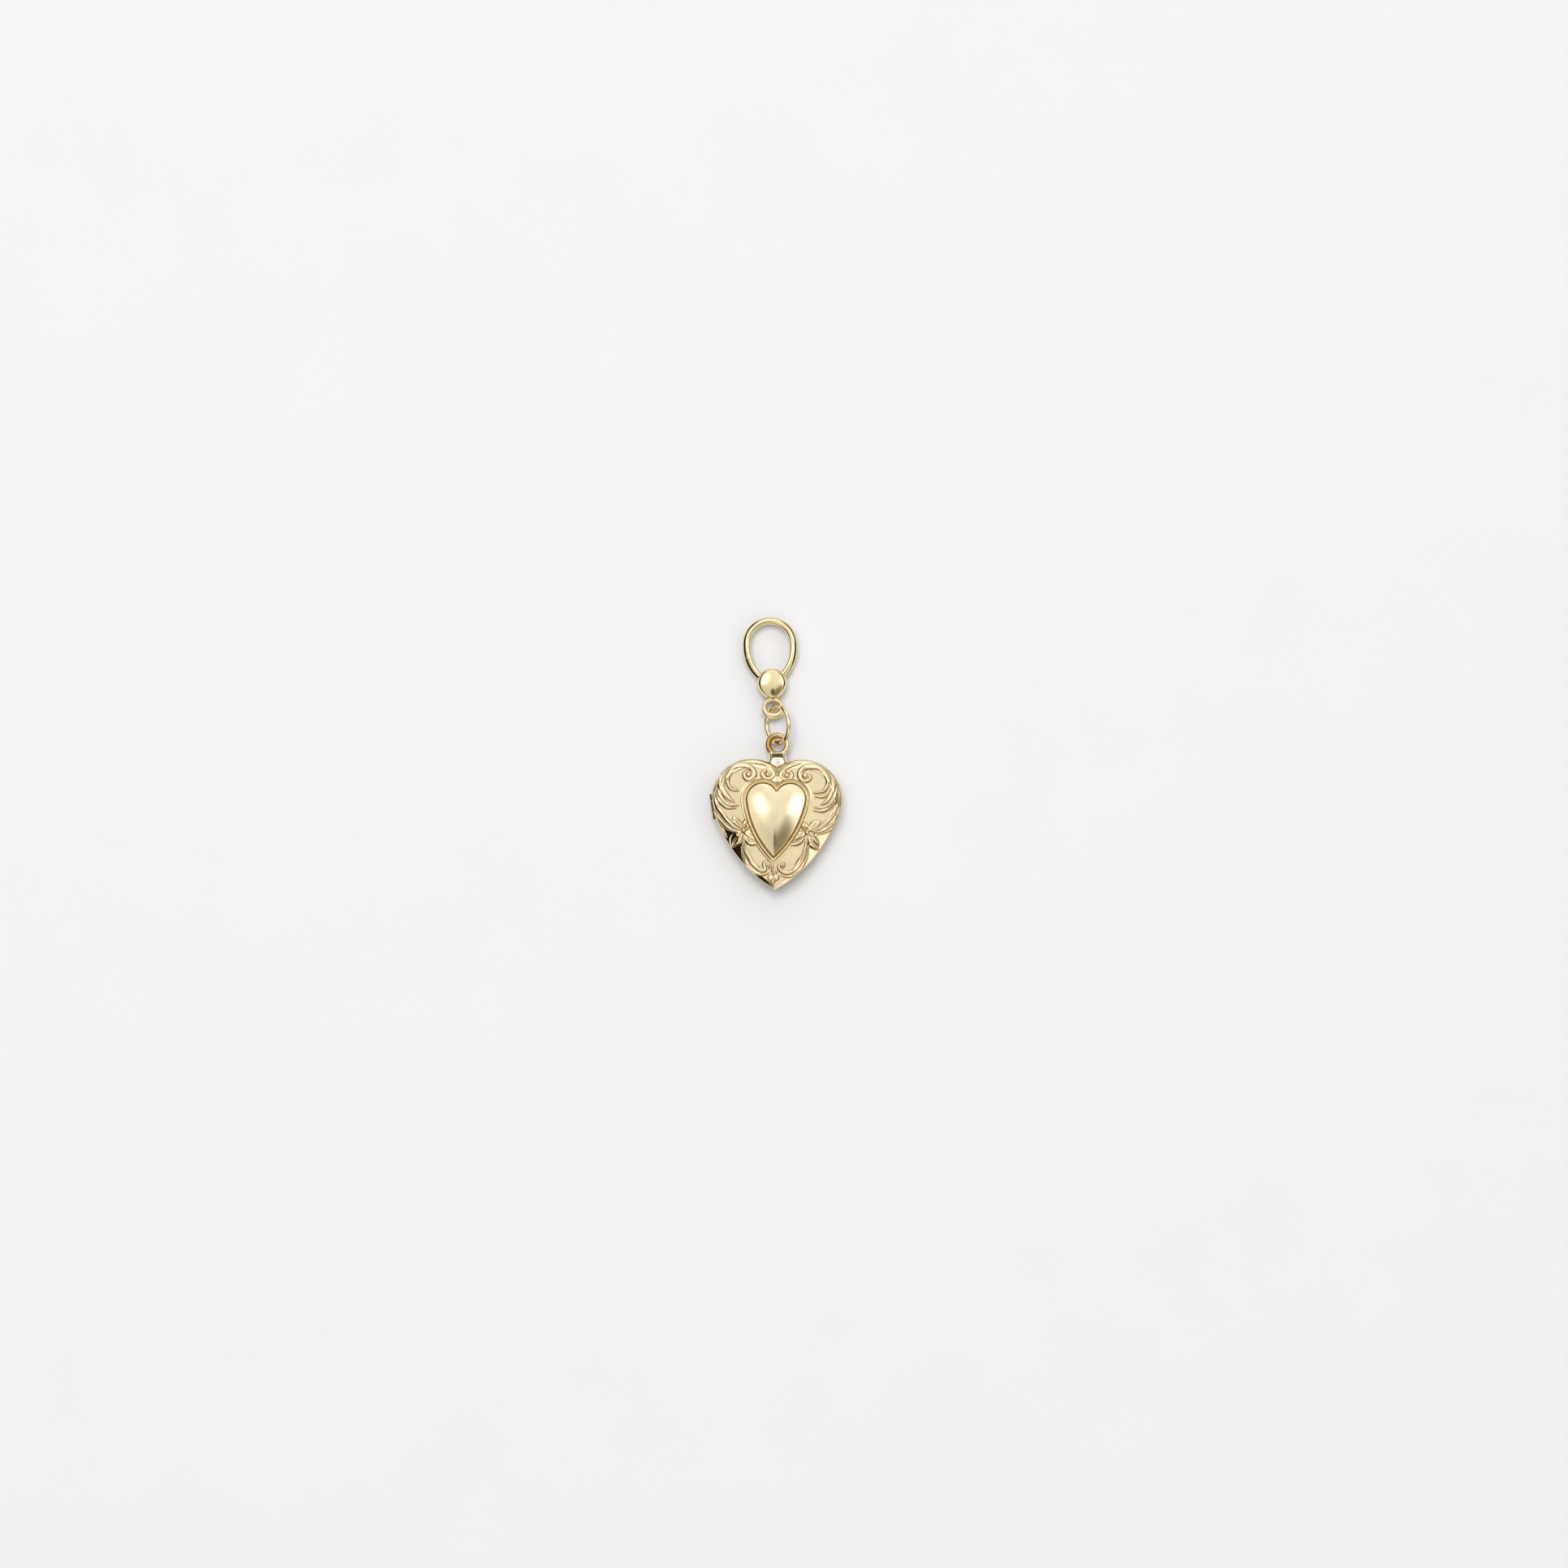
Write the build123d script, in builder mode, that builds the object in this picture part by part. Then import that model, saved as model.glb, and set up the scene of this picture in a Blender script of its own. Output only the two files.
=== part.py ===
"""Heart locket charm: a hinged heart locket on a jump ring with a spring clasp, lying flat.

Millimetres. The origin is on the surface that it lies on, under the middle of the row.
+Y points along the row toward the clasp and +Z up, out of the locket's cover.
"""
from build123d import *
from math import cos, radians, sin, sqrt
import os

# Heart outline: two lobe arcs, two side arcs and a small arc in the notch
heart_half_width = 10.05
lobe_radius = 6.15
lobe_height = 3.9  # lobe centre above the middle of the heart
tip_depth = 10.15  # tip below the middle of the heart
lobe_turn = 17.0  # degrees below the widest point where lobe and side arcs meet
notch_radius = 0.3

# Raised heart in the middle of the cover
puff_half_width = 4.5
puff_lobe_radius = 2.5
puff_lobe_height = 3.65
puff_tip_depth = 4.95
puff_turn = 10.0
puff_notch_radius = 0.15
puff_rise = 1.1  # crown above the field
groove_width = 0.65
groove_depth = 0.32
lip_width = 0.3
lip_rise = 0.2

# Shells
seam_gap = 0.08
rim_height = 0.8  # upright band on each side of the seam
shoulder_rise = 1.7  # field above the upright band
shoulder_run = 2.0  # how far in the shoulder reaches
wall = 0.5
plate = 0.65
relief_rise = 0.3
bezel_rise = 0.4  # inner rim of the back, which the cover closes over
bezel_wall = 0.4
bezel_clearance = 0.1

# Hinge on the left edge
hinge_at = 2.6  # above the middle of the heart
hinge_lean = 10.0  # degrees, the slant of the edge there
hinge_inset = 0.2  # hinge line inside the edge
hinge_length = 3.9
middle_knuckle = 1.7
knuckle_radius = 0.45
knuckle_gap = 0.08
barrel_clearance = 0.12
hinge_pin_radius = 0.2
pin_clearance = 0.03
hinge_pad = 0.45  # wall added inside behind the barrel
hinge_pad_height = 1.1

# Neck and bail ring, soldered to the back shell
bail_outer = 3.77
bail_wire = 0.85
bail_at = 12.29  # above the middle of the heart
neck_half_width = 1.35
neck_foot_half_width = 1.9
neck_thickness = 2.2
neck_horn = 0.95  # tops of the neck below the middle of the ring
neck_clearance = 0.14

# Jump ring, leaning with its left side on the surface
jump_outer = 6.42
jump_wire = 0.76
jump_tilt = 53.0
jump_turn = 4.0  # degrees that its long axis turns from the row
jump_split = 1.0  # degrees left open where its ends meet
jump_split_at = 30.0
jump_x = 0.21
jump_y = 4.33

# Clasp
clasp_x = -0.65
clasp_y = 10.63
clasp_lean = 1.9
clasp_thickness = 3.2
loop_radius = 3.62  # to the middle of the bar
loop_at = 6.16  # centre of the round top above the middle of the button
loop_shift = -0.13
arm_radius = 6.1
arm_start = 5.6
arm_end = 1.0
hook_end = 3.3  # where the bar stops, behind its seam with the gate
bar_width = 1.2
bar_height = 1.5
button_half_width = 1.82
button_half_length = 2.13
button_round = 0.6
flange_half_width = 2.3
flange_half_length = 2.4
flange_thickness = 2.0
flange_round = 0.3
eye_half_width = 1.7
eye_half_length = 1.75
eye_at = -3.8
eye_hole_half_width = 1.04
eye_hole_half_length = 0.82
eye_hole_at = -3.65
eye_thickness = 0.8
eye_lift = 0.4  # eye above the clasp's middle
eye_round = 0.18
gate_outside = 0.62  # gate's edges from the middle of the bar
gate_inside = 0.78
gate_thickness = 1.1
gate_gap = 0.1
gate_slot_gap = 0.1
gate_root = 0.75
gate_open = 25.0
pivot_at = 0.9  # pivot above the middle of the button
gate_pin_radius = 0.25

# Where the locket and the clasp lie, and how far they turn from the row
locket_y = -11.07
locket_lean = 1.0
locket_plane = Plane(origin=(0, locket_y, 0), x_dir=Vector(1, 0, 0).rotate(Axis.Z, -locket_lean))
clasp_plane = Plane(origin=(clasp_x, clasp_y, 0), x_dir=Vector(1, 0, 0).rotate(Axis.Z, clasp_lean))

HEART = dict(half=heart_half_width, lobe=lobe_radius, height=lobe_height, tip=tip_depth,
             turn=lobe_turn, notch=notch_radius)
PUFF = dict(half=puff_half_width, lobe=puff_lobe_radius, height=puff_lobe_height,
            tip=puff_tip_depth, turn=puff_turn, notch=puff_notch_radius)

# Shoulder: how far in, as a share of its run, and how high, as a share of its rise
SHOULDER = [
    ("edge", 0.00, 0.00),
    ("turn", 0.05, 0.33),
    ("bend", 0.22, 0.64),
    ("slope", 0.50, 0.88),
    ("field", 0.85, 1.00),
]
# Crown of the raised heart: how far in, as a share of its lobe radius, and its height
CROWN = [
    ("foot", 0.00, 0.00),
    ("wall", 0.05, 0.40),
    ("haunch", 0.16, 0.66),
    ("slope", 0.36, 0.86),
    ("top", 0.60, 1.00),
]
# Scrollwork of the right half, mirrored to the left: width and middle line as shares of
# the heart's half width, from the middle of the heart
SCROLLS = [
    ("inner scroll", 0.050, [(0.33, 0.94), (0.16, 0.90), (0.06, 0.80), (0.07, 0.71), (0.19, 0.72)]),
    ("outer scroll", 0.060, [(0.48, 0.71), (0.38, 0.70), (0.37, 0.83), (0.52, 0.905), (0.70, 0.845),
                             (0.77, 0.68), (0.69, 0.53), (0.59, 0.50)]),
    ("first plume", 0.035, [(0.83, 0.72), (0.82, 0.56), (0.75, 0.465), (0.64, 0.44)]),
    ("second plume", 0.055, [(0.88, 0.72), (0.86, 0.52), (0.79, 0.41), (0.69, 0.345)]),
    ("third plume", 0.045, [(0.92, 0.60), (0.88, 0.42), (0.77, 0.30), (0.60, 0.280)]),
    ("fourth plume", 0.035, [(0.94, 0.50), (0.89, 0.33), (0.76, 0.225), (0.60, 0.215)]),
    ("long stem", 0.050, [(0.95, 0.35), (0.86, 0.13), (0.71, -0.02), (0.55, -0.09)]),
    ("low stem", 0.040, [(0.94, 0.18), (0.84, -0.01), (0.75, -0.07), (0.62, -0.12)]),
    ("long petal", 0.060, [(0.52, -0.06), (0.59, 0.02), (0.66, 0.10)]),
    ("upper petal", 0.045, [(0.485, -0.08), (0.48, -0.02), (0.475, 0.04)]),
    ("inner petal", 0.050, [(0.455, -0.07), (0.42, 0.00), (0.37, 0.07)]),
    ("broad petal", 0.090, [(0.47, -0.12), (0.40, -0.165), (0.33, -0.19)]),
    ("low leaf", 0.045, [(0.47, -0.19), (0.41, -0.255), (0.33, -0.285)]),
    ("outer leaf", 0.080, [(0.54, -0.17), (0.61, -0.27), (0.65, -0.34)]),
    ("inner volute", 0.045, [(0.455, -0.32), (0.42, -0.50), (0.32, -0.65), (0.18, -0.73),
                             (0.075, -0.69), (0.09, -0.60)]),
    ("outer volute", 0.030, [(0.510, -0.32), (0.475, -0.52), (0.37, -0.70), (0.22, -0.80),
                             (0.13, -0.79)]),
]
# On the middle line, above and below the raised heart
MIDDLE = [
    ("notch spike", 0.025, [(0.0, 0.86), (0.0, 0.80), (0.0, 0.72)]),
    ("notch leaf", 0.110, [(0.0, 0.73), (0.0, 0.67), (0.0, 0.62)]),
    ("tip leaf", 0.100, [(-0.01, -0.75), (-0.015, -0.81), (-0.02, -0.87)]),
]
SCROLL_END = 0.5  # width at the ends, as a share of the width between them

# Worked out from the sizes above
seam_height = rim_height + shoulder_rise
field_height = 2 * seam_height
cover_bottom = seam_height + seam_gap / 2
back_top = seam_height - seam_gap / 2
clasp_middle = clasp_thickness / 2

hinge_drop = lobe_height - hinge_at
hinge_x = lobe_radius - heart_half_width - sqrt(lobe_radius**2 - hinge_drop**2) + hinge_inset
hinge_turn = hinge_lean - locket_lean
hinge_plane = Plane(
    origin=locket_plane.from_local_coords(Vector(hinge_x, hinge_at, seam_height)),
    x_dir=Vector(1, 0, 0).rotate(Axis.Z, hinge_turn),
    z_dir=Vector(0, -1, 0).rotate(Axis.Z, hinge_turn),
)
knuckle_web = wall + hinge_pad - hinge_inset  # reach of the pad in from the hinge line
barrel_hollow = knuckle_radius + barrel_clearance
recess_length = hinge_length + 2 * knuckle_gap
end_knuckle = (hinge_length - middle_knuckle) / 2 - knuckle_gap

neck_foot_at = lobe_height + lobe_radius - 2 * wall
neck_waist_at = bail_at - bail_outer / 2
neck_horn_at = bail_at - neck_horn

bail_radius = (bail_outer - bail_wire) / 2
jump_radius = (jump_outer - jump_wire) / 2
jump_height = jump_radius * sin(radians(jump_tilt)) + jump_wire / 2
jump_down = Vector(0, -1, 0).rotate(Axis.Z, jump_turn)
jump_side = Vector(cos(radians(jump_tilt)), 0, sin(radians(jump_tilt))).rotate(Axis.Z, jump_turn)
jump_plane = Plane(origin=(jump_x, jump_y, jump_height), x_dir=jump_down,
                   z_dir=jump_down.cross(jump_side))
split_way = jump_plane.x_dir.rotate(Axis((0, 0, 0), jump_plane.z_dir), jump_split_at)

right_arm_x = loop_shift + loop_radius - arm_radius
left_arm_x = loop_shift - loop_radius + arm_radius
arm_end_x = right_arm_x + sqrt(arm_radius**2 - (arm_start - arm_end) ** 2)
hook_end_x = left_arm_x - sqrt(arm_radius**2 - (arm_start - hook_end) ** 2)
pivot_x = left_arm_x - sqrt(arm_radius**2 - (arm_start - pivot_at) ** 2)
# Seam between hook and gate, from the gate's tip down to the outside, as shares of the
# loop's radius from the middle of its round top
SEAM = [(-0.80, -0.02), (-0.99, -0.24), (-1.02, -0.45), (-1.03, -0.58), (-1.30, -0.61)]


def draw_heart(shape, inset):
    """Heart face in the sketch in hand, moved in from its outline by inset.

    The lobe and side arcs keep their centres and lose inset in radius, and the arc in
    the notch gains it, so that the outlines stay parallel. Moved outward, the notch
    keeps its small arc.
    """
    lobe = shape["lobe"]
    centre = Vector(shape["half"] - lobe, shape["height"])
    toward_meeting = Vector(1, 0).rotate(Axis.Z, -shape["turn"])
    toward_crown = Vector(0, 1).rotate(Axis.Z, -shape["turn"])
    reach = Vector(0, -shape["tip"]) - centre
    along = reach.dot(toward_meeting)
    side = (reach.length**2 + lobe**2 - 2 * lobe * along) / (2 * (lobe - along))
    side_centre = centre - toward_meeting * (side - lobe)

    lobe_now = lobe - inset
    side_now = side - inset
    notch_now = shape["notch"] + max(inset, 0)
    notch = Vector(0, centre.Y + sqrt((lobe_now + notch_now) ** 2 - centre.X**2))
    dip = notch + (centre - notch) * (notch_now / (notch_now + lobe_now))
    crown = centre + toward_crown * lobe_now
    meeting = centre + toward_meeting * lobe_now
    tip = Vector(0, side_centre.Y - sqrt(side_now**2 - side_centre.X**2))
    flank_y = (meeting.Y + tip.Y) / 2
    flank = Vector(side_centre.X + sqrt(side_now**2 - (flank_y - side_centre.Y) ** 2), flank_y)
    with BuildLine() as outline:
        ThreePointArc((-dip.X, dip.Y), notch - Vector(0, notch_now), dip)
        ThreePointArc(dip, crown, meeting)
        ThreePointArc(meeting, flank, tip)
        ThreePointArc(tip, (-flank.X, flank.Y), (-meeting.X, meeting.Y))
        ThreePointArc((-meeting.X, meeting.Y), (-crown.X, crown.Y), (-dip.X, dip.Y))
    make_face(outline.edges())


def heart_section(shape, inset, height):
    """Heart face on the locket's plane at a height."""
    with BuildSketch(locket_plane.offset(height)) as section:
        draw_heart(shape, inset)
    return section.sketch.face()


def shell_sections(start, sign, inset, lowered):
    """Heart sections of one shell from the seam outward; sign is +1 for the cover."""
    sections = [heart_section(HEART, inset, start)]
    for _, run, rise in SHOULDER:
        out = rim_height - lowered + rise * shoulder_rise
        sections.append(heart_section(HEART, inset + run * shoulder_run, seam_height + sign * out))
    return sections


def crown_sections(inset, lowered):
    """Heart sections of the raised heart, from the plate's underside to its crown."""
    foot = field_height - groove_depth - lowered
    sections = [heart_section(PUFF, inset, field_height - plate - lowered)]
    for _, run, rise in CROWN:
        up = foot + rise * (puff_rise + groove_depth)
        sections.append(heart_section(PUFF, inset + run * puff_lobe_radius, up))
    return sections


def heart_prism(shape, inset, start, end, mode):
    """Upright heart prism from one height to another, on the part in hand."""
    extrude(heart_section(shape, inset, start), amount=end - start, dir=(0, 0, 1), mode=mode)


def stroke(width, points, side):
    """Band along a curve, narrower at its ends, on the sketch in hand; side -1 mirrors it."""
    line = [Vector(side * x, y) * heart_half_width for x, y in points]
    left = []
    right = []
    for index, point in enumerate(line):
        before = line[max(index - 1, 0)]
        after = line[min(index + 1, len(line) - 1)]
        across = (after - before).normalized().rotate(Axis.Z, 90)
        at_end = index in (0, len(line) - 1)
        half = width * heart_half_width * (SCROLL_END if at_end else 1) / 2
        left.append(point + across * half)
        right.append(point - across * half)
    with BuildLine() as outline:
        Spline(*left)
        Line(left[-1], right[-1])
        Spline(*reversed(right))
        Line(right[0], left[0])
    make_face(outline.edges())


def barrel(start, length, radius, mode):
    """Cylinder along the hinge line, from start measured from the hinge's middle."""
    with BuildSketch(hinge_plane.offset(start)) as profile:
        Circle(radius)
    extrude(profile.sketch, amount=length, mode=mode)


def hinge_block(start, length, corner, size, mode):
    """Block along the hinge line; corner and size are across it, inward and upward."""
    with BuildSketch(hinge_plane.offset(start)) as profile:
        with Locations(corner):
            Rectangle(*size, align=(Align.MIN, Align.MIN))
    extrude(profile.sketch, amount=length, mode=mode)


def hinge_seat(sign):
    """Pad behind the hinge and room for its barrel, on the shell in hand; +1 for the cover."""
    low = min(sign * seam_gap / 2, sign * hinge_pad_height)
    pad = hinge_pad_height - seam_gap / 2
    hinge_block(-recess_length / 2, recess_length, (0, low), (knuckle_web, pad), Mode.ADD)
    high = min(0, sign * field_height)
    hinge_block(-recess_length / 2, recess_length, (-field_height, high),
                (field_height, field_height), Mode.SUBTRACT)
    barrel(-recess_length / 2, recess_length, barrel_hollow, Mode.SUBTRACT)


def knuckle(start, length, sign):
    """Knuckle with its web on the shell in hand; sign is +1 for the cover."""
    barrel(start, length, knuckle_radius, Mode.ADD)
    low = min(sign * seam_gap / 2, sign * knuckle_radius)
    hinge_block(start, length, (0, low), (knuckle_web, knuckle_radius - seam_gap / 2), Mode.ADD)


# Scrollwork: a skin over the cover, cut to bands; it ends at the groove
with BuildPart() as scrollwork:
    loft(sections=shell_sections(cover_bottom, 1, 0, -relief_rise), ruled=True)
    loft(sections=shell_sections(back_top, 1, wall / 2, plate / 2), ruled=True, mode=Mode.SUBTRACT)
    heart_prism(PUFF, -groove_width, seam_height, 2 * field_height, Mode.SUBTRACT)
    with BuildSketch(locket_plane.offset(seam_height)):
        for _, width, points in SCROLLS:
            stroke(width, points, 1)
            stroke(width, points, -1)
        for _, width, points in MIDDLE:
            stroke(width, points, 1)
    extrude(amount=field_height, mode=Mode.INTERSECT)

# Cover with its raised heart and the middle knuckle
with BuildPart() as locket_front:
    loft(sections=shell_sections(cover_bottom, 1, 0, 0), ruled=True)
    heart_prism(PUFF, -groove_width - lip_width, field_height - plate / 2,
                field_height + lip_rise, Mode.ADD)
    heart_prism(PUFF, -groove_width, field_height - groove_depth, 2 * field_height, Mode.SUBTRACT)
    loft(sections=crown_sections(0, 0), ruled=True)
    loft(sections=shell_sections(back_top, 1, wall, plate), ruled=True, mode=Mode.SUBTRACT)
    loft(sections=crown_sections(wall, wall), ruled=True, mode=Mode.SUBTRACT)
    add(scrollwork.part)
    hinge_seat(1)
    knuckle(-middle_knuckle / 2, middle_knuckle, 1)
    barrel(-hinge_length, 2 * hinge_length, hinge_pin_radius + pin_clearance, Mode.SUBTRACT)
locket_front.part.label = "locket_front"

# Back shell with the bezel, the neck, the bail ring and the end knuckles
with BuildPart() as locket_back:
    loft(sections=shell_sections(back_top, -1, 0, 0), ruled=True)
    with BuildSketch(locket_plane.offset(seam_height - neck_thickness / 2)):
        with BuildLine():
            Line((-neck_foot_half_width, neck_foot_at - bail_wire),
                 (neck_foot_half_width, neck_foot_at - bail_wire))
            Line((neck_foot_half_width, neck_foot_at - bail_wire), (neck_foot_half_width, neck_foot_at))
            Spline((neck_foot_half_width, neck_foot_at), (neck_half_width, neck_waist_at),
                   (neck_half_width, neck_horn_at), tangents=((-1, 1), (0, 1)))
            ThreePointArc((neck_half_width, neck_horn_at), (0, neck_horn_at - bail_wire / 2),
                          (-neck_half_width, neck_horn_at))
            Spline((-neck_half_width, neck_horn_at), (-neck_half_width, neck_waist_at),
                   (-neck_foot_half_width, neck_foot_at), tangents=((0, -1), (-1, -1)))
            Line((-neck_foot_half_width, neck_foot_at), (-neck_foot_half_width, neck_foot_at - bail_wire))
        make_face()
    extrude(amount=neck_thickness)
    heart_prism(HEART, -neck_clearance, back_top, field_height, Mode.SUBTRACT)
    with BuildSketch(Plane(origin=locket_plane.from_local_coords(Vector(0, bail_at, seam_height)),
                           x_dir=locket_plane.x_dir, z_dir=-locket_plane.y_dir)):
        with Locations((bail_radius, 0)):
            Circle(bail_wire / 2)
    revolve(axis=Axis(locket_plane.from_local_coords(Vector(0, bail_at, seam_height)), (0, 0, 1)))
    loft(sections=shell_sections(cover_bottom, -1, wall, plate), ruled=True, mode=Mode.SUBTRACT)
    heart_prism(HEART, wall - bezel_clearance, back_top - bezel_rise, back_top, Mode.ADD)
    heart_prism(HEART, wall + bezel_clearance, back_top, seam_height + bezel_rise, Mode.ADD)
    heart_prism(HEART, wall + bezel_clearance + bezel_wall, back_top - 2 * bezel_rise,
                field_height, Mode.SUBTRACT)
    hinge_block(-hinge_length, 2 * hinge_length, (-field_height, seam_gap / 2),
                (field_height + knuckle_web + bezel_wall, field_height), Mode.SUBTRACT)
    hinge_seat(-1)
    knuckle(-hinge_length / 2, end_knuckle, -1)
    knuckle(hinge_length / 2 - end_knuckle, end_knuckle, -1)
    barrel(-hinge_length, 2 * hinge_length, hinge_pin_radius + pin_clearance, Mode.SUBTRACT)
locket_back.part.label = "locket_back"

with BuildPart() as hinge_pin:
    barrel(-hinge_length / 2, hinge_length, hinge_pin_radius, Mode.ADD)
hinge_pin.part.label = "hinge_pin"

# Jump ring with the fine split where its ends meet
with BuildPart() as jump_ring:
    with BuildSketch(Plane(origin=jump_plane.origin, x_dir=split_way,
                           z_dir=split_way.cross(jump_plane.z_dir))):
        with Locations((jump_radius, 0)):
            Circle(jump_wire / 2)
    revolve(axis=Axis(jump_plane.origin, jump_plane.z_dir), revolution_arc=360 - jump_split)
jump_ring.part.label = "jump_ring"


def gate_zone(grown):
    """Region on the gate's side of its seam with the hook, grown outward."""
    seam = [Vector(loop_shift + x * loop_radius, loop_at + y * loop_radius) for x, y in SEAM]
    with BuildSketch() as zone:
        with BuildLine():
            Polyline(*seam, (seam[-1].X, pivot_at), (0, pivot_at), (0, loop_at), close=True)
        make_face()
        offset(amount=grown, kind=Kind.INTERSECTION)
    return zone.sketch


def gate_outline(grown):
    """Gate's outline from its tip to its root round the pivot, grown outward."""
    with BuildSketch() as outline:
        with Locations((left_arm_x, arm_start)):
            Circle(arm_radius + gate_outside)
            Circle(arm_radius - gate_inside, mode=Mode.SUBTRACT)
        add(gate_zone(-gate_gap), mode=Mode.INTERSECT)
        with Locations((pivot_x, pivot_at)):
            Circle(gate_root)
        offset(amount=grown, kind=Kind.INTERSECTION)
    return outline.sketch


def pivot_disc(radius):
    """Disc round the pivot."""
    with BuildSketch() as disc:
        with Locations((pivot_x, pivot_at)):
            Circle(radius)
    return disc.sketch


def slab(outline, thickness, mode):
    """Flat piece of the clasp, half above and half below its middle."""
    low = clasp_plane.offset(clasp_middle - thickness / 2)
    extrude(low * outline, amount=thickness, dir=(0, 0, 1), mode=mode)


# Hook loop: a round bar up one side, over the top and down to the seam with the gate
with BuildPart() as clasp_loop:
    with BuildLine(clasp_plane.offset(clasp_middle)) as loop:
        RadiusArc((arm_end_x, arm_end), (loop_shift + loop_radius, arm_start), -arm_radius)
        Line((loop_shift + loop_radius, arm_start), (loop_shift + loop_radius, loop_at))
        ThreePointArc((loop_shift + loop_radius, loop_at), (loop_shift, loop_at + loop_radius),
                      (loop_shift - loop_radius, loop_at))
        Line((loop_shift - loop_radius, loop_at), (loop_shift - loop_radius, arm_start))
        RadiusArc((loop_shift - loop_radius, arm_start), (hook_end_x, hook_end), -arm_radius)
    with BuildSketch(Plane(origin=loop.line @ 0, x_dir=(0, 0, 1), z_dir=loop.line % 0)):
        Ellipse(bar_height / 2, bar_width / 2)
    sweep(path=loop.line)
    slab(gate_zone(gate_gap), clasp_thickness, Mode.SUBTRACT)

# Eye at the foot of the clasp
with BuildPart() as clasp_eye:
    with BuildSketch(clasp_plane.offset(clasp_middle + eye_lift - eye_thickness / 2)):
        with Locations((0, eye_at)):
            Ellipse(eye_half_width, eye_half_length)
        with Locations((0, eye_hole_at)):
            Ellipse(eye_hole_half_width, eye_hole_half_length, mode=Mode.SUBTRACT)
    extrude(amount=eye_thickness)
    fillet(clasp_eye.edges().filter_by(GeomType.ELLIPSE), eye_round)

# Flange round the button
with BuildPart() as clasp_flange:
    with BuildSketch(clasp_plane.offset(clasp_middle - flange_thickness / 2)):
        Ellipse(flange_half_width, flange_half_length)
    extrude(amount=flange_thickness)
    fillet(clasp_flange.edges().filter_by(GeomType.ELLIPSE), flange_round)

# Clasp: one casting of the button, its flange, the hook loop and the eye, with the gate's slot
with BuildPart() as clasp_frame:
    with BuildSketch(clasp_plane):
        Ellipse(button_half_width, button_half_length)
    extrude(amount=clasp_thickness)
    fillet(clasp_frame.edges().filter_by(GeomType.ELLIPSE), button_round)
    add(clasp_flange.part)
    add(clasp_loop.part)
    add(clasp_eye.part)
    for turn in (0, gate_open / 3, 2 * gate_open / 3, gate_open):
        swung = gate_outline(gate_slot_gap).rotate(Axis((pivot_x, pivot_at, 0), (0, 0, 1)), -turn)
        slab(swung, gate_thickness + 2 * gate_slot_gap, Mode.SUBTRACT)
    slab(pivot_disc(gate_pin_radius + pin_clearance), flange_thickness - gate_slot_gap, Mode.SUBTRACT)
clasp_frame.part.label = "clasp_frame"

with BuildPart() as clasp_gate:
    slab(gate_outline(0), gate_thickness, Mode.ADD)
    slab(pivot_disc(gate_pin_radius + pin_clearance), clasp_thickness, Mode.SUBTRACT)
clasp_gate.part.label = "clasp_gate"

with BuildPart() as gate_pin:
    slab(pivot_disc(gate_pin_radius), flange_thickness - 2 * gate_slot_gap, Mode.ADD)
gate_pin.part.label = "gate_pin"

os.makedirs("parts", exist_ok=True)
for piece in (locket_front, locket_back, hinge_pin, jump_ring, clasp_frame, clasp_gate, gate_pin):
    export_step(piece.part, f"parts/{piece.part.label}.step")
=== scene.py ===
# %% [markdown]
# Heart locket charm: the looks
#
# A hinged heart locket hangs by a jump ring from a small spring clasp, and the whole row lies
# flat on a pale surface. Everything is polished pale gold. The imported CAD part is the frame:
# each piece below is drawn in millimetres in the same place, and rides on one of its bodies.
# A polished metal has almost no colour of its own to show. What the eye reads is how each small
# slope mirrors the studio, so most of the work goes into slopes and into the lights.

from math import atan2, cos, pi, radians, sin, sqrt

import bpy
import numpy as np
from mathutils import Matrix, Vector


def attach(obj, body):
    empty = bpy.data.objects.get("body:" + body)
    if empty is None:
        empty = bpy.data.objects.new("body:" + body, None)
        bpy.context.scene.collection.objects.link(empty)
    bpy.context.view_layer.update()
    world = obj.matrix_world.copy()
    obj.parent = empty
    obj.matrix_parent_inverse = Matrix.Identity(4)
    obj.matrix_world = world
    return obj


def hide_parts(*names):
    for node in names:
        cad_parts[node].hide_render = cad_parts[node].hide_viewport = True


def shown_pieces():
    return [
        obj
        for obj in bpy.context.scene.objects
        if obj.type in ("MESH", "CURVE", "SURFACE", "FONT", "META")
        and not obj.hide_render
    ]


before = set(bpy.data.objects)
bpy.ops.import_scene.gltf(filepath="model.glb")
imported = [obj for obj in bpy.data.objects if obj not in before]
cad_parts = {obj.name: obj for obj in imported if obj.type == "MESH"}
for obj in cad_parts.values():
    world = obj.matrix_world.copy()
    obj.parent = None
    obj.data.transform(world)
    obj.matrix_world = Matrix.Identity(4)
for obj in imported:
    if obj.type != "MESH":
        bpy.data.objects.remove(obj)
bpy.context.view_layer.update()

# %% [markdown]
# Sizes that the drawing and the frame share. The heart outline is four arcs and a small arc in
# the notch. The raised heart in the middle is drawn the same way, smaller.

# %% Sizes in millimetres
MM = 0.001
SEAM = 2.5  # height of the seam between the two shells
FIELD = 5.0  # height of the cover's flat field
RIM = 0.8  # upright band on each side of the seam
SHOULDER_REACH = 1.8
SHOULDER_RISE = 1.7
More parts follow.
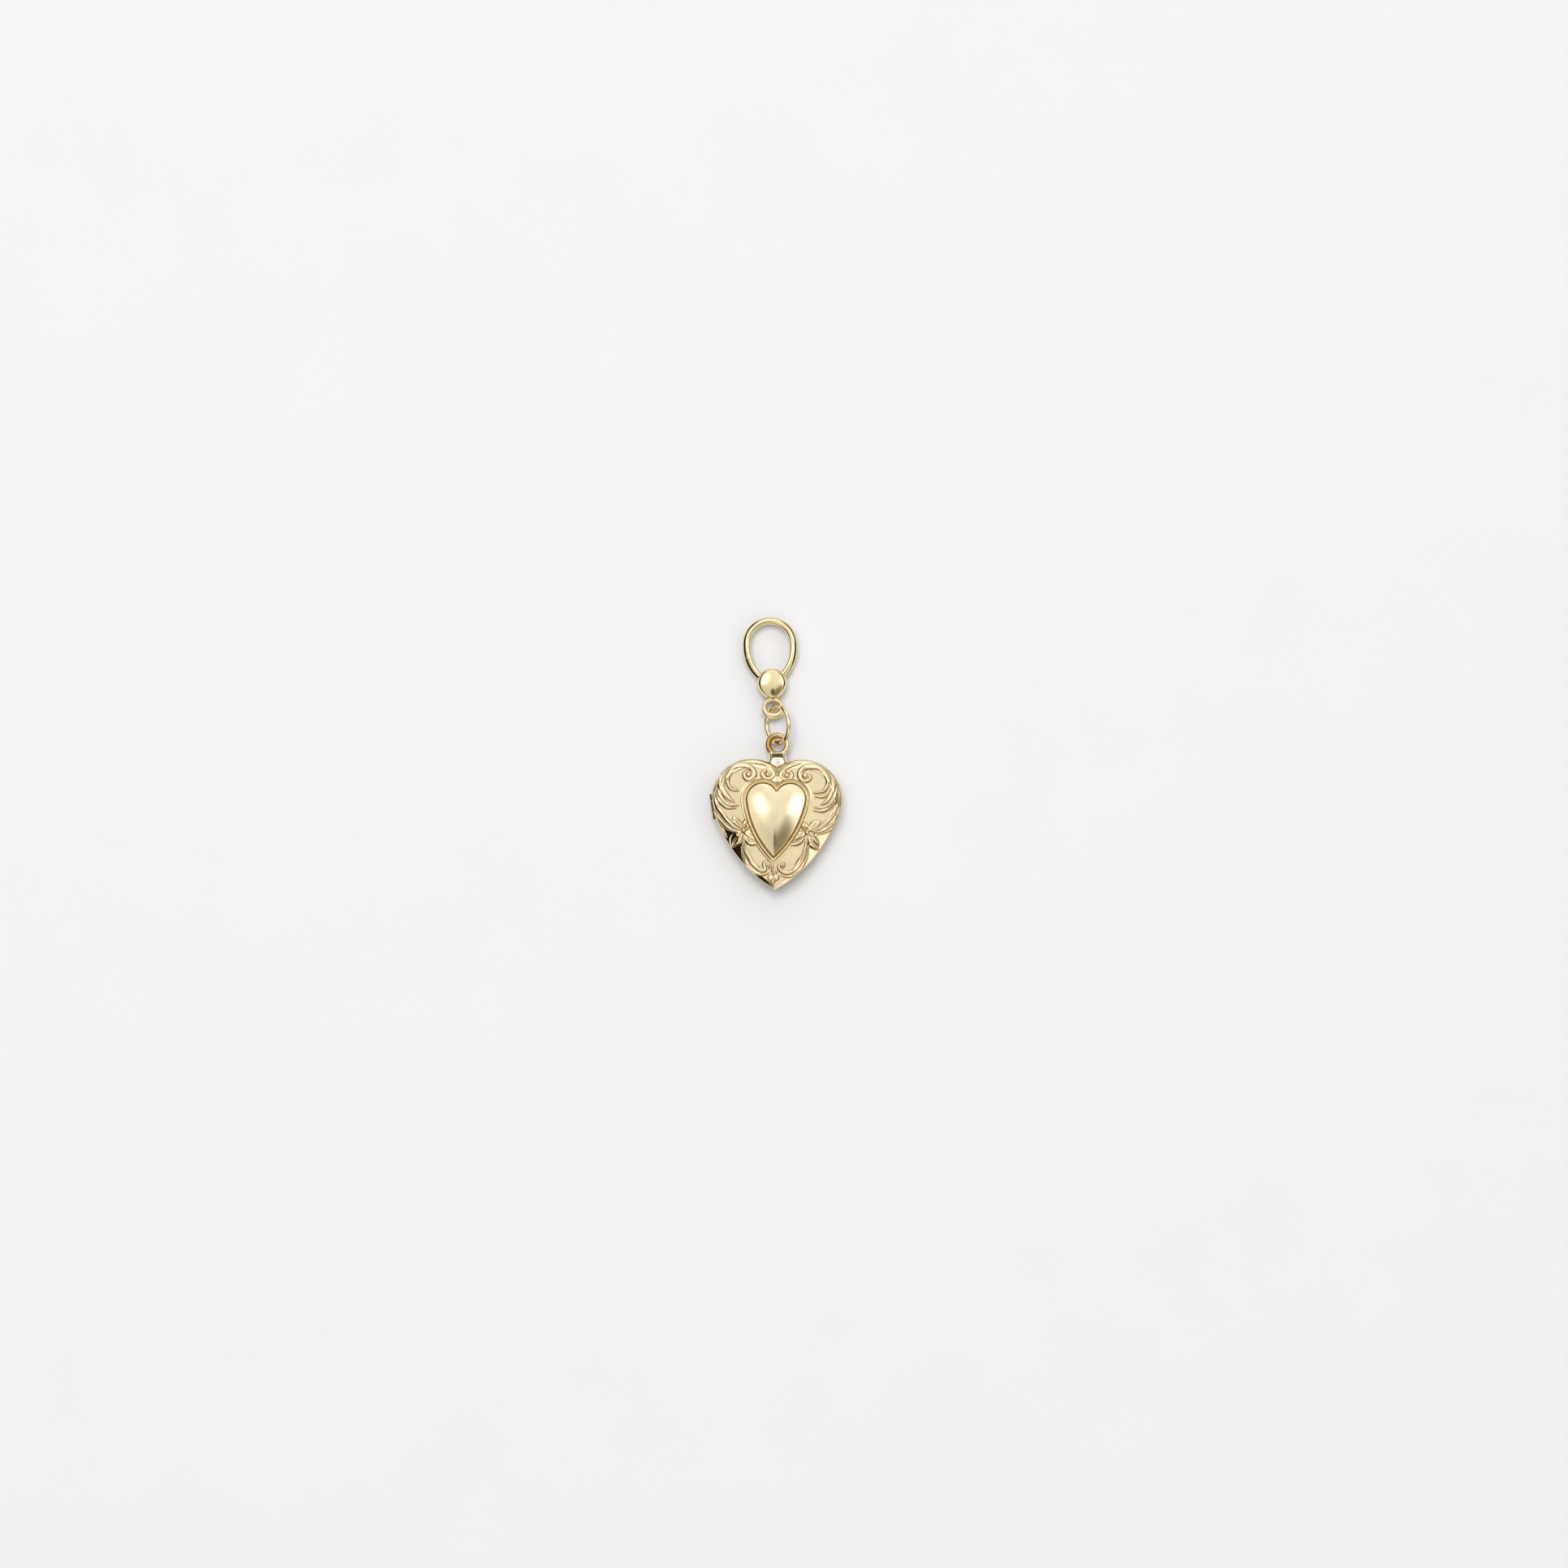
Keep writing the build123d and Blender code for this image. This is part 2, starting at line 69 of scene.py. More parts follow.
# How far in the cover's bevel reaches and how steeply it climbs, at heights up the heart
BEVEL = [(-9.0, 0.65, 0.6), (-7.4, 0.8, 0.6), (-5.5, 1.6, 0.59), (-1.6, 2.1, 0.59), (0.6, 1.6, 0.6),
         (3.0, 1.15, 0.655)]
CREASE = 0.12  # share of the bevel over which its inner end rounds into the field
EDGE_REACH = 0.13  # the rounded edge outside it
FIELD_SAG = 0.0016  # how far the field falls away, per square millimetre from the middle
WALL = 0.5
PLATE = 0.65
SEAM_GAP = 0.08
HEART = dict(half=10.05, lobe=6.15, height=3.9, tip=10.15, turn=17.0, notch=0.3)
PUFF = dict(half=4.55, lobe=2.4, height=3.95, tip=5.0, turn=10.0, notch=0.12)
GROOVE_WIDTH = 0.58
GROOVE_DEPTH = 0.32
LIP_WIDTH = 0.36
LIP_RISE = 0.1
LOCKET = (0.0, -11.07, -1.0)  # where the middle of the heart lies, and its turn in degrees
CLASP = (-0.65, 10.63, 1.9)

# %% [markdown]
# Two helpers carry every piece. One turns a drawing's own axes into the row's. The other takes
# a grid of points, whose columns go round the piece and whose rows go along it, and writes it
# into a mesh as whole arrays. A face has four corners, and is split in two along the diagonal
# from its first corner. That is made the more level diagonal, because a ridge that is split the
# other way comes out jagged. A piece that would otherwise be open is closed by a pole, one point
# at the middle of its first or last row. The signed volume shows whether the faces point outward,
# and turns them if they don't.

# %% Grid helpers
ALIKE = 1e-6  # two diagonals within this many millimetres climb the same


def in_row(points, place):
    """Points (…, 3) of a drawing, turned by the place's angle about +Z and moved to it."""
    x, y, turn = place
    c, s = cos(radians(turn)), sin(radians(turn))
    points = np.asarray(points, float)
    return np.stack([x + c * points[..., 0] - s * points[..., 1],
                     y + s * points[..., 0] + c * points[..., 1], points[..., 2]], -1)


def put_mesh(name, grid, body, nodes, closed_rows=False, poles=(None, None), painted_shade=0.0):
    """Mesh of a grid (rows, columns, 3) in millimetres; columns always go round and meet.

    Rows are joined one after another, and the last to the first when closed_rows. A pole joins
    the first or last row to one point. painted_shade is a mark from 0 to 1 for painted shade in the
    finish, one for the whole piece or one for each row or point.
    """
    rows, columns = grid.shape[:2]
    points = grid.reshape(-1, 3)
    index = np.arange(rows * columns).reshape(rows, columns)
    below = index if closed_rows else index[:-1]
    above = np.roll(index, -1, 0) if closed_rows else index[1:]
    quads = np.stack([below, np.roll(below, -1, 1), np.roll(above, -1, 1), above], -1).reshape(-1, 4)
    corner_z = points[quads, 2]
    first_climb, second_climb = (np.abs(corner_z[:, k] - corner_z[:, k + 2]) for k in (0, 1))
    steeper = first_climb > second_climb + ALIKE
    quads[steeper] = np.roll(quads[steeper], 1, 1)
    fans = []
    for pole, row, flip in ((poles[0], index[0], True), (poles[1], index[-1], False)):
        if pole is None:
            continue
        tip = np.full(columns, len(points))
        points = np.vstack([points, np.asarray(pole, float)[None]])
        fan = np.stack([row, np.roll(row, -1), tip], -1)
        fans.append(fan[:, ::-1] if flip else fan)
    triangles = np.vstack([quads[:, [0, 1, 2]], quads[:, [0, 2, 3]]] + fans)
    a, b, c = (points[triangles[:, k]] for k in range(3))
    volume = np.einsum("ij,ij->i", a, np.cross(b, c)).sum() / 6
    if volume < 0:
        quads, fans = quads[:, [0, 3, 2, 1]], [fan[:, [0, 2, 1]] for fan in fans]
    loops = np.concatenate([quads.ravel()] + [fan.ravel() for fan in fans])
    totals = np.concatenate([np.full(len(quads), 4)] + [np.full(len(fan), 3) for fan in fans])
    starts = np.concatenate([[0], np.cumsum(totals)[:-1]])
    mesh = bpy.data.meshes.new(name)
    mesh.vertices.add(len(points))
    mesh.vertices.foreach_set("co", (points * MM).astype(np.float32).ravel())
    mesh.loops.add(len(loops))
    mesh.loops.foreach_set("vertex_index", loops.astype(np.int32))
    mesh.polygons.add(len(totals))
    mesh.polygons.foreach_set("loop_start", starts.astype(np.int32))
    mesh.polygons.foreach_set("loop_total", totals.astype(np.int32))
    mesh.polygons.foreach_set("use_smooth", np.ones(len(totals), bool))
    mesh.update(calc_edges=True)
    mesh.validate()
    # The painted shade mark goes on each point, for the material to darken the gold there
    marks = np.zeros(len(points), np.float32)
    marks[: rows * columns] = np.broadcast_to(painted_shade, (rows, columns)).ravel()
    mesh.attributes.new("painted_shade", "FLOAT", "POINT").data.foreach_set("value", marks)
    piece = bpy.data.objects.new(name, mesh)
    bpy.context.scene.collection.objects.link(piece)
    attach(piece, body)
    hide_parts(*nodes)
    print(f"{name}: {len(triangles)} triangles, {abs(volume):.1f} cubic millimetres")
    return piece


# %% [markdown]
# Curves. The heart is sampled from the bottom of its notch down the right side to the tip and
# back up the left side, evenly along its length, so that outlines of different size can be
# joined point to point. An inset takes the same amount off every arc, which keeps the outlines
# parallel. A smooth path through a few points is a Catmull-Rom curve.

# %% Heart outline and smooth paths
def even(path, count, ends=True):
    """The path's points moved so that count of them lie evenly along its length."""
    steps = np.linalg.norm(np.diff(path, axis=0), axis=1)
    length = np.concatenate([[0], np.cumsum(steps)])
    at = np.linspace(0, length[-1], count, endpoint=ends)
    return np.stack([np.interp(at, length, path[:, k]) for k in range(path.shape[1])], -1)


def heart_half(shape, inset=0.0, count=400):
    """Right half of the outline, notch to tip: an arc in the notch, the lobe arc, the side arc."""
    lobe, turn = shape["lobe"], radians(shape["turn"])
    centre = np.array([shape["half"] - lobe, shape["height"]])
    meeting = np.array([cos(turn), -sin(turn)])
    reach = np.array([0, -shape["tip"]]) - centre
    along = reach @ meeting
    side = (reach @ reach + lobe**2 - 2 * lobe * along) / (2 * (lobe - along))
    side_centre = centre - meeting * (side - lobe)
    lobe_now, side_now, notch_now = lobe - inset, side - inset, shape["notch"] + max(inset, 0)
    notch = np.array([0, centre[1] + sqrt((lobe_now + notch_now) ** 2 - centre[0] ** 2)])
    to_notch = atan2(*(notch - centre)[::-1])
    tip = atan2(-sqrt(side_now**2 - side_centre[0] ** 2), -side_centre[0])
    arcs = []
    for middle, radius, first, last in (
        (notch, notch_now, -pi / 2, to_notch - pi),
        (centre, lobe_now, to_notch, -turn),
        (side_centre, side_now, -turn, tip),
    ):
        angle = np.linspace(first, last, 240)
        arcs.append(middle + radius * np.stack([np.cos(angle), np.sin(angle)], -1))
    return even(np.vstack(arcs), count)


def heart_outline(shape, inset=0.0, count=800):
    """The whole outline, count points: right half down, left half back up."""
    half = heart_half(shape, inset, count // 2 + 1)
    return np.vstack([half, (half * [-1, 1])[-2:0:-1]])


def smooth_path(points, steps=10):
    """Catmull-Rom curve through the points: each stretch is a cubic that leaves a point along
    the line between its two neighbours."""
    p = np.asarray(points, float)
    p = np.vstack([2 * p[0] - p[1], p, 2 * p[-1] - p[-2]])
    t = np.linspace(0, 1, steps, endpoint=False)[None, :, None]
    a, b, c, d = (p[k:len(p) - 3 + k, None, :] for k in range(4))
    curve = 0.5 * (2 * b + (c - a) * t + (2 * a - 5 * b + 4 * c - d) * t**2
                   + (3 * b - a - 3 * c + d) * t**3)
    return np.vstack([curve.reshape(-1, p.shape[1]), p[-2:-1]])


def nearest(points, path, block=4000):
    """Distance of each point to a path, and how far along the path the nearest place is, 0 to 1."""
    start, step = path[:-1], np.diff(path, axis=0)
    square = np.maximum((step**2).sum(1), 1e-12)
    length = np.sqrt(square)
    before = np.concatenate([[0], np.cumsum(length)[:-1]])
    distance, share = np.empty(len(points)), np.empty(len(points))
    for first in range(0, len(points), block):
        part = points[first:first + block, None, :] - start
        along = np.clip((part * step).sum(-1) / square, 0, 1)
        away = np.sqrt(((part - along[..., None] * step) ** 2).sum(-1))
        best = away.argmin(1)
        pick = np.arange(len(best))
        distance[first:first + block] = away[pick, best]
        share[first:first + block] = before[best] + along[pick, best] * length[best]
    return distance, share / length.sum()


outline = heart_outline(HEART)
print("Heart outline, width and height in mm:", np.ptp(outline, axis=0).round(2))

# %% [markdown]
# The scrollwork. On the real cover it is struck with the sheet: rounded ridges a third of a
# millimetre high, each with a fine sunk line beside it. It could be painted as a bump, but a
# bump can't hide what is behind it or cast a shadow, so the ridges are real height. Each one is
# a smooth path with a width, a rise and a share of that width left at its two ends. The places
# are millimetres to the right of and above the middle of the heart.

# %% Strokes of the scrollwork
# name, width, rise, share of the width at the start and at the end, path
STROKES = [
    # left half
    ("inner scroll", 0.55, 0.32, 0.3, 0.7, [(-5.5, 9.5), (-4, 9.6), (-2.8, 9.55), (-1.8, 9.35),
     (-1.1, 8.9), (-0.65, 8.3), (-0.5, 7.7), (-0.75, 7.2), (-1.3, 6.98), (-1.9, 7.1), (-2.25, 7.5),
     (-2.2, 7.95), (-1.8, 8.25)]),
    ("outer scroll", 0.6, 0.36, 0.5, 0.3, [(-4.7, 8.15), (-5.05, 7.85), (-5.05, 7.35),
     (-4.7, 6.95), (-4.1, 6.9), (-3.65, 7.3), (-3.6, 7.9), (-3.85, 8.4), (-4.4, 8.85), (-5.2, 9.1),
     (-6.2, 9.0), (-7, 8.5), (-7.5, 7.6), (-7.65, 6.8), (-7.5, 6.0), (-7.0, 5.3), (-6.0, 5.1)]),
    ("scroll lower line", 0.3, 0.24, 0.3, 0.3, [(-7.0, 5.85), (-6.6, 5.5), (-6.1, 5.4)]),
    ("first plume", 0.35, 0.26, 0.3, 0.3, [(-8.3, 7.0), (-8.35, 6), (-8.1, 5.3), (-7.5, 4.75)]),
    ("second plume", 0.65, 0.36, 0.4, 0.25, [(-8.8, 7.3), (-8.8, 6), (-8.5, 5.2), (-7.9, 4.4),
     (-7.2, 3.8), (-6.6, 3.4)]),
    ("third plume", 0.5, 0.34, 0.5, 0.3, [(-9.15, 6.0), (-9.0, 5), (-8.7, 4.2), (-8.1, 3.4),
     (-7.2, 2.9), (-6.0, 2.85)]),
    ("fourth plume", 0.4, 0.3, 0.5, 0.3, [(-9.4, 5.2), (-9.2, 4.2), (-8.8, 3.5), (-8.2, 2.9),
     (-7.4, 2.45), (-6.3, 2.4)]),
    ("long stem", 0.6, 0.36, 0.4, 0.4, [(-9.6, 4.8), (-9.45, 3.5), (-9.1, 2.4), (-8.5, 1.6),
     (-7.9, 0.8), (-7.2, 0.1), (-6.4, -0.5), (-5.5, -0.9)]),
    ("low stem", 0.4, 0.28, 0.4, 0.4, [(-9.5, 2.5), (-9.3, 1.5), (-8.9, 0.8), (-8.4, 0.2),
     (-7.9, -0.3), (-7.2, -0.8), (-6.3, -1.15), (-5.8, -1.1)]),
    ("rim branch", 0.35, 0.26, 0.4, 0.3, [(-9.3, 1.0), (-8.9, 0.2), (-8.5, -0.6), (-8.0, -1.4),
     (-7.6, -2.1)]),
    ("inner band", 0.45, 0.32, 0.5, 0.5, [(-4.9, -2.2), (-4.95, -3.2), (-4.75, -4.2),
     (-4.2, -5.1), (-3.7, -6.0), (-3.0, -6.6), (-2.2, -7.1), (-1.6, -6.95), (-1.8, -6.2),
     (-1.6, -5.8), (-1.1, -6.0), (-1.0, -6.5), (-1.3, -6.7)]),
    ("outer band", 0.36, 0.3, 0.4, 0.4, [(-5.25, -3.5), (-5.05, -4.5), (-4.65, -5.7),
     (-4.05, -6.65), (-3.2, -7.4), (-2.4, -7.7), (-1.6, -7.7), (-1.1, -7.5)]),
    ("volute line", 0.24, 0.22, 0.5, 0.3, [(-0.55, -6.1), (-0.5, -6.7), (-0.6, -7.3)]),
    # right half
    ("inner scroll", 0.5, 0.32, 0.3, 0.7, [(3.6, 9.45), (3.2, 9.35), (2.3, 9.2), (1.5, 8.85),
     (0.9, 8.4), (0.55, 7.9), (0.55, 7.3), (0.95, 6.92), (1.6, 6.9), (2.15, 7.2), (2.25, 7.7),
     (1.95, 8.1), (1.5, 8.15)]),
    ("outer scroll", 0.6, 0.36, 0.5, 0.3, [(5.15, 7.6), (5.05, 7.1), (4.6, 6.8), (3.9, 6.85), (3.5, 7.4),
     (3.6, 8.2), (4.2, 8.8), (5.2, 9.05), (6.3, 8.9), (7.1, 8.4), (7.7, 7.6), (7.9, 6.8),
     (7.7, 6.0), (7.2, 5.3), (6.6, 5.1), (5.8, 4.95)]),
    ("first plume", 0.42, 0.3, 0.3, 0.3, [(8.3, 6.6), (8.25, 5.8), (8.0, 5.3), (7.6, 4.7),
     (6.9, 4.4), (6.0, 4.4)]),
    ("second plume", 0.6, 0.36, 0.4, 0.25, [(8.7, 7.2), (8.75, 6), (8.5, 5), (8.0, 4.0),
     (7.4, 3.5), (6.9, 3.2)]),
    ("third plume", 0.5, 0.34, 0.5, 0.3, [(9.1, 6.3), (9.1, 5.3), (8.9, 4.4), (8.5, 3.6),
     (7.9, 3.0), (7.1, 2.75), (5.9, 2.75)]),
    ("fourth plume", 0.42, 0.3, 0.4, 0.3, [(9.3, 4.6), (8.6, 3.4), (8.0, 2.7), (7.2, 2.25),
     (5.8, 2.2)]),
    ("upper stem", 0.5, 0.34, 0.4, 0.4, [(9.4, 3.2), (8.9, 2.2), (8.4, 1.3), (7.7, 0.5),
     (7.0, -0.2), (6.3, -0.7), (5.5, -0.9)]),
    ("low stem", 0.42, 0.3, 0.4, 0.4, [(9.2, 1.5), (8.7, 0.5), (8.0, -0.3), (7.2, -0.8),
     (6.4, -1.0), (5.8, -1.1)]),
    ("rim branch", 0.3, 0.24, 0.4, 0.3, [(8.8, -0.2), (8.0, -0.8), (7.2, -1.1), (6.4, -1.35)]),
    ("inner band", 0.45, 0.32, 0.5, 0.5, [(4.6, -2.5), (4.6, -3.1), (4.35, -4.3), (4.0, -5.4),
     (3.4, -6.4), (2.7, -7.1), (2.0, -7.4), (1.2, -7.3), (0.6, -6.8), (0.55, -6.2), (0.9, -5.9),
     (1.3, -6.1), (1.2, -6.5)]),
    ("outer band", 0.32, 0.28, 0.4, 0.4, [(4.95, -3.4), (4.7, -4.9), (4.15, -6.3), (3.35, -7.2),
     (2.5, -7.85), (1.6, -8.0), (0.9, -7.8)]),
    # on the middle line
    ("notch spike", 0.26, 0.34, 0.8, 0.5, [(0.0, 8.7), (0.0, 8.0), (0.0, 7.3)]),
    ("tip ridge", 0.24, 0.24, 0.5, 0.5, [(-0.4, -6.9), (-0.3, -7.3), (-0.2, -7.6)]),
    ("tip ridge", 0.22, 0.22, 0.5, 0.5, [(0.15, -7.0), (0.1, -7.3), (0.0, -7.6)]),
]
# Petals and leaves: pointed at both ends, with a sunk vein: name, width, rise, vein, path
PETALS = [
    ("long petal", 0.75, 0.46, 0.14, [(-5.1, -0.8), (-5.9, 0.1), (-6.7, 1.15)]),
    ("side petal", 0.42, 0.38, 0.0, [(-5.5, -0.65), (-6.2, 0.0), (-7.0, 0.6)]),
    ("upper petal", 0.6, 0.44, 0.0, [(-5.05, -0.65), (-4.85, 0.1), (-4.5, 0.75)]),
    ("inner petal", 0.6, 0.44, 0.0, [(-4.6, -0.8), (-4.2, -0.1), (-3.7, 0.5)]),
    ("broad petal", 1.25, 0.5, 0.08, [(-4.85, -1.2), (-4.0, -1.65), (-2.8, -2.65)]),
    ("low leaf", 0.7, 0.4, 0.12, [(-4.9, -1.7), (-4.1, -2.7), (-2.8, -3.0)]),
    ("outer leaf", 1.3, 0.46, 0.3, [(-5.2, -1.55), (-6.1, -2.3), (-6.75, -3.6)]),
    ("small leaf", 0.4, 0.34, 0.0, [(-5.0, -1.15), (-5.5, -1.3), (-6.1, -1.25)]),
    ("upper left petal", 0.62, 0.44, 0.0, [(4.5, -0.8), (3.9, 0.05), (3.1, 1.0)]),
    ("upper petal", 0.5, 0.42, 0.0, [(4.7, -0.8), (4.45, -0.1), (3.9, 0.5)]),
    ("upper thin petal", 0.36, 0.36, 0.0, [(4.85, -0.8), (4.75, -0.2), (4.55, 0.4)]),
    ("upper right petal", 0.9, 0.46, 0.16, [(4.9, -0.9), (5.7, -0.1), (6.75, 0.65)]),
    ("small petal", 0.4, 0.36, 0.0, [(4.4, -1.2), (3.9, -0.95), (3.4, -0.65)]),
    ("broad petal", 1.2, 0.5, 0.08, [(4.5, -1.3), (3.3, -1.75), (2.1, -2.75)]),
    ("low leaf", 0.6, 0.38, 0.1, [(4.4, -1.8), (3.5, -2.6), (2.3, -3.1)]),
    ("outer leaf", 0.95, 0.46, 0.18, [(5.0, -1.8), (5.6, -2.7), (6.45, -3.8)]),
    ("second leaf", 0.5, 0.38, 0.0, [(5.3, -1.5), (6.0, -2.2), (6.6, -3.1)]),
    ("notch leaf", 1.5, 0.42, 0.0, [(0.0, 7.45), (0.0, 6.7), (-0.03, 5.95)]),
    ("tip leaf", 0.72, 0.44, 0.12, [(-0.3, -7.5), (-0.34, -8.3), (-0.42, -9.15)]),
    ("tip leaf side", 0.5, 0.4, 0.08, [(-0.5, -7.7), (-0.85, -8.15), (-0.7, -8.75)]),
    ("tip leaf side", 0.5, 0.4, 0.08, [(-0.15, -7.7), (0.25, -8.1), (0.0, -8.7)]),
]
# Round dots and pearls: place, radius, rise
DOTS = [
    ((-5.0, -1.05), 0.42, 0.5), ((4.75, -1.15), 0.4, 0.5), ((-1.35, -6.25), 0.3, 0.3),
    ((0.95, -6.3), 0.28, 0.3), ((-0.32, -7.65), 0.2, 0.4), ((-1.45, 7.62), 0.4, 0.4),
    ((1.45, 7.55), 0.4, 0.4), ((-4.4, 7.6), 0.44, 0.4), ((4.3, 7.6), 0.44, 0.4),
]
print(len(STROKES), "strokes,", len(PETALS), "petals and leaves,", len(DOTS), "dots")

# %% [markdown]
# The relief at a point is the highest of the ridges over it. A ridge's section is a bell with a
# broad crest, whose flanks reach about forty degrees. There they mirror the dark edge of the
# studio, which makes the fine dark line that the real relief shows. The second value marks the
# flanks and the hollows beside them, and the material darkens them there with painted shade.

# %% Relief as a function of the place
LOWER = 0.64  # the rises in the tables are those of half round ridges, and a bell is flatter
BROADER = 1.6  # a bell's foot is wider than its bright crest, whose width the tables give
VEIN_WIDTH = 0.09
OUTLINE_DEPTH, OUTLINE_WIDTH = 0.025, 0.13  # the sunk line beside a ridge
OUTLINE_PLACE = 0.86  # where it lies, as a share of the ridge's half width
SHALLOW = 0.06  # the sunk line fades out where the relief under it is this high
NEAR = 0.4  # how far outside a ridge its line still counts


def stroke_swell(first, last):
    """How a stroke's width grows from its first share to the whole, and falls to its last."""
    return lambda t: np.minimum(1, np.minimum(first + (1 - first) * t / 0.22,
                                              last + (1 - last) * (1 - t) / 0.3))


def petal_swell(t):
    """How a petal's width grows and falls: the sine of half a turn, made fuller."""
    return 0.12 + 0.88 * np.sin(pi * np.clip(t, 0, 1)) ** 0.75


def relief(points):
    """Height of the relief and the mark of painted shade at points (n, 2) from the middle of the heart.

    A ridge: its rise times (1 - d^2.6)^1.3, where d is the distance from its path over its half
    width. A sunk line beside it: a bell curve about the ridge's edge. A dot is half an ellipse.
    """
    rise_here, sunk = np.zeros(len(points)), np.zeros(len(points))
    ridges = [(smooth_path(path), width / 2, rise, 0.0, stroke_swell(first, last))
              for _, width, rise, first, last, path in STROKES]
    ridges += [(smooth_path(path, 12), width / 2, rise, vein, petal_swell)
               for _, width, rise, vein, path in PETALS]
    for path, half, rise, vein, swell in ridges:
        low, high = path.min(0) - half - NEAR, path.max(0) + half + NEAR
        near = np.flatnonzero(((points > low) & (points < high)).all(1))
        if not len(near):
            continue
        away, share = nearest(points[near], path)
        grown = swell(share)
        wide = half * grown * BROADER
        ridge = LOWER * rise * np.sqrt(grown) * np.clip(1 - (away / wide) ** 2.6, 0, 1) ** 1.3
        if vein:
            ridge -= vein * np.exp(-(away / VEIN_WIDTH) ** 2) * np.clip(4 * share * (1 - share), 0, 1)
        inside = away < wide
        rise_here[near] = np.maximum(rise_here[near], np.where(inside, ridge, 0))
        line = np.exp(-((away - OUTLINE_PLACE * wide) / OUTLINE_WIDTH) ** 2)
        sunk[near] = np.maximum(sunk[near] * np.where(away < 0.6 * wide, 0.3, 1), line)
    for place, radius, rise in DOTS:
        away = np.hypot(*(points - place).T)
        rise_here = np.maximum(rise_here, rise * np.sqrt(np.clip(1 - (away / radius) ** 2, 0, 1)))
        sunk = np.maximum(sunk, 0.5 * np.exp(-((away - radius) / OUTLINE_WIDTH) ** 2))
    return rise_here - OUTLINE_DEPTH * sunk * np.clip(1 - rise_here / SHALLOW, 0, 1), sunk


# %% [markdown]
# The border of the cover: everything outside the groove, as one closed ring. Its columns go
# round the heart and its rows go from the groove, over the lip, the scrollwork and the
# bevel, down the upright band, and back underneath. The relief moves points along the
# surface's own slope. The bevel runs down straight and rolls over the edge in a small round, as
# struck sheet does. Underneath, the shell's inner side is a plain quarter of an ellipse.

# %% Outlines and sections of the cover
PUFF_SHIFT = (-0.2, 0.03)  # the raised heart leans a little: shift, and shift per millimetre up
AROUND = 960  # points round the heart
BEVEL_START = 0.06  # how far inside the outline the bevel begins


def leaned(points):
    """Points of the raised heart, moved and leaned as on the real cover."""
    return points + np.outer(PUFF_SHIFT[0] + PUFF_SHIFT[1] * points[:, 1], [1, 0])


def puff_outline(inset, count=AROUND):
    """Outline of the raised heart in its place on the cover."""
    return leaned(heart_outline(PUFF, inset, count))


def shoulder(inside):
    """Rise of the shell's inner side at a distance inside its upright wall: a quarter ellipse."""
    return SHOULDER_RISE * np.sqrt(np.clip(1 - (1 - np.clip(inside / SHOULDER_REACH, 0, 1)) ** 2, 0, 1))


def struck_edge(inside, up):
    """Height over the upright band on the cover: a small quarter ellipse at the very edge, then
    a straight bevel to the field, whose reach and slope come from the table of bevels. A parabola
    joins the bevel and the field."""
    height, reach, slope = smooth_path(BEVEL).T
    reach, slope = np.interp(up, height, reach), np.interp(up, height, slope)
    bevel_rise = slope * (reach - BEVEL_START)
    edge = np.sqrt(1 - (1 - np.clip(inside / EDGE_REACH, 0, 1)) ** 2)
    climb = np.clip((inside - BEVEL_START) / (reach - BEVEL_START), 0, 1 + CREASE)
    climb -= np.clip(climb - 1 + CREASE, 0, None) ** 2 / (4 * CREASE)
    return (SHOULDER_RISE - bevel_rise) * edge + bevel_rise * climb


def slopes(grid):
    """Unit normals of a grid of points whose columns meet: the cross of its two directions."""
    along = np.gradient(grid, axis=0)
    around = (np.roll(grid, -1, 1) - np.roll(grid, 1, 1)) / 2
    normal = np.cross(around, along)
    normal /= np.maximum(np.linalg.norm(normal, axis=-1, keepdims=True), 1e-9)
    return normal * np.sign(normal[..., 2:3] + 1e-9)


# %% Top of the cover's border
SPREAD = 78  # rows from the groove to the outline, closer together toward the outline
outer_edge = heart_outline(HEART, 0, AROUND)
share = 1 - (1 - np.linspace(0, 1, SPREAD)[:, None, None]) ** 1.22
flat = puff_outline(-GROOVE_WIDTH) * (1 - share) + outer_edge * share
from_edge, from_puff = (
    nearest(flat.reshape(-1, 2), np.vstack([line, line[:1]])[::every])[0].reshape(flat.shape[:2])
    for line, every in ((outer_edge, 2), (puff_outline(0), 3)))
sag = FIELD_SAG * (flat[..., 0] ** 2 + 0.5 * flat[..., 1] ** 2) * np.clip(from_edge / 1.5, 0, 1)
field = SEAM + RIM + struck_edge(from_edge, flat[..., 1]) - sag
lip_place = (from_puff - GROOVE_WIDTH - LIP_WIDTH / 2) / (LIP_WIDTH / 2)
lip = LIP_RISE * np.sqrt(np.clip(1 - np.minimum(lip_place, 1) ** 2, 0, 1))
lip = np.where(lip_place < 1, np.maximum(lip, 0), 0)
raised, sunk = relief(flat.reshape(-1, 2))
raised, sunk = raised.reshape(field.shape), sunk.reshape(field.shape)
# The relief runs out toward the outline and the groove
fade = np.clip(from_edge / 0.35, 0, 1) * np.clip((from_puff - GROOVE_WIDTH) / 0.12, 0, 1)
top = np.concatenate([flat, field[..., None]], -1)
top = top + slopes(top) * (np.maximum(raised, lip) * fade)[..., None]
# Painted shade: a sunk line is darkest where its slope faces down and right, away from the lights
faces_away_shade = np.clip(0.45 + 1.1 * (slopes(top) @ [0.45, -0.75, 0]), 0.25, 1)
# Painted shade: a dark line along the rim, strongest toward the upper right
upper_right = np.clip(0.5 + (flat[..., 0] + flat[..., 1]) / 8, 0, 1)
rim_shade = 0.75 * np.exp(-((from_edge - 0.12) / 0.12) ** 2) * upper_right  # the rim is darker there
print("Relief from", raised.min().round(3), "to", raised.max().round(3), "mm")

# %% [markdown]
# The hinge barrel lies in the left edge, along a line that leans ten degrees with the outline.
# Both shells step back from it, so the room for it is made by moving points of their grids.

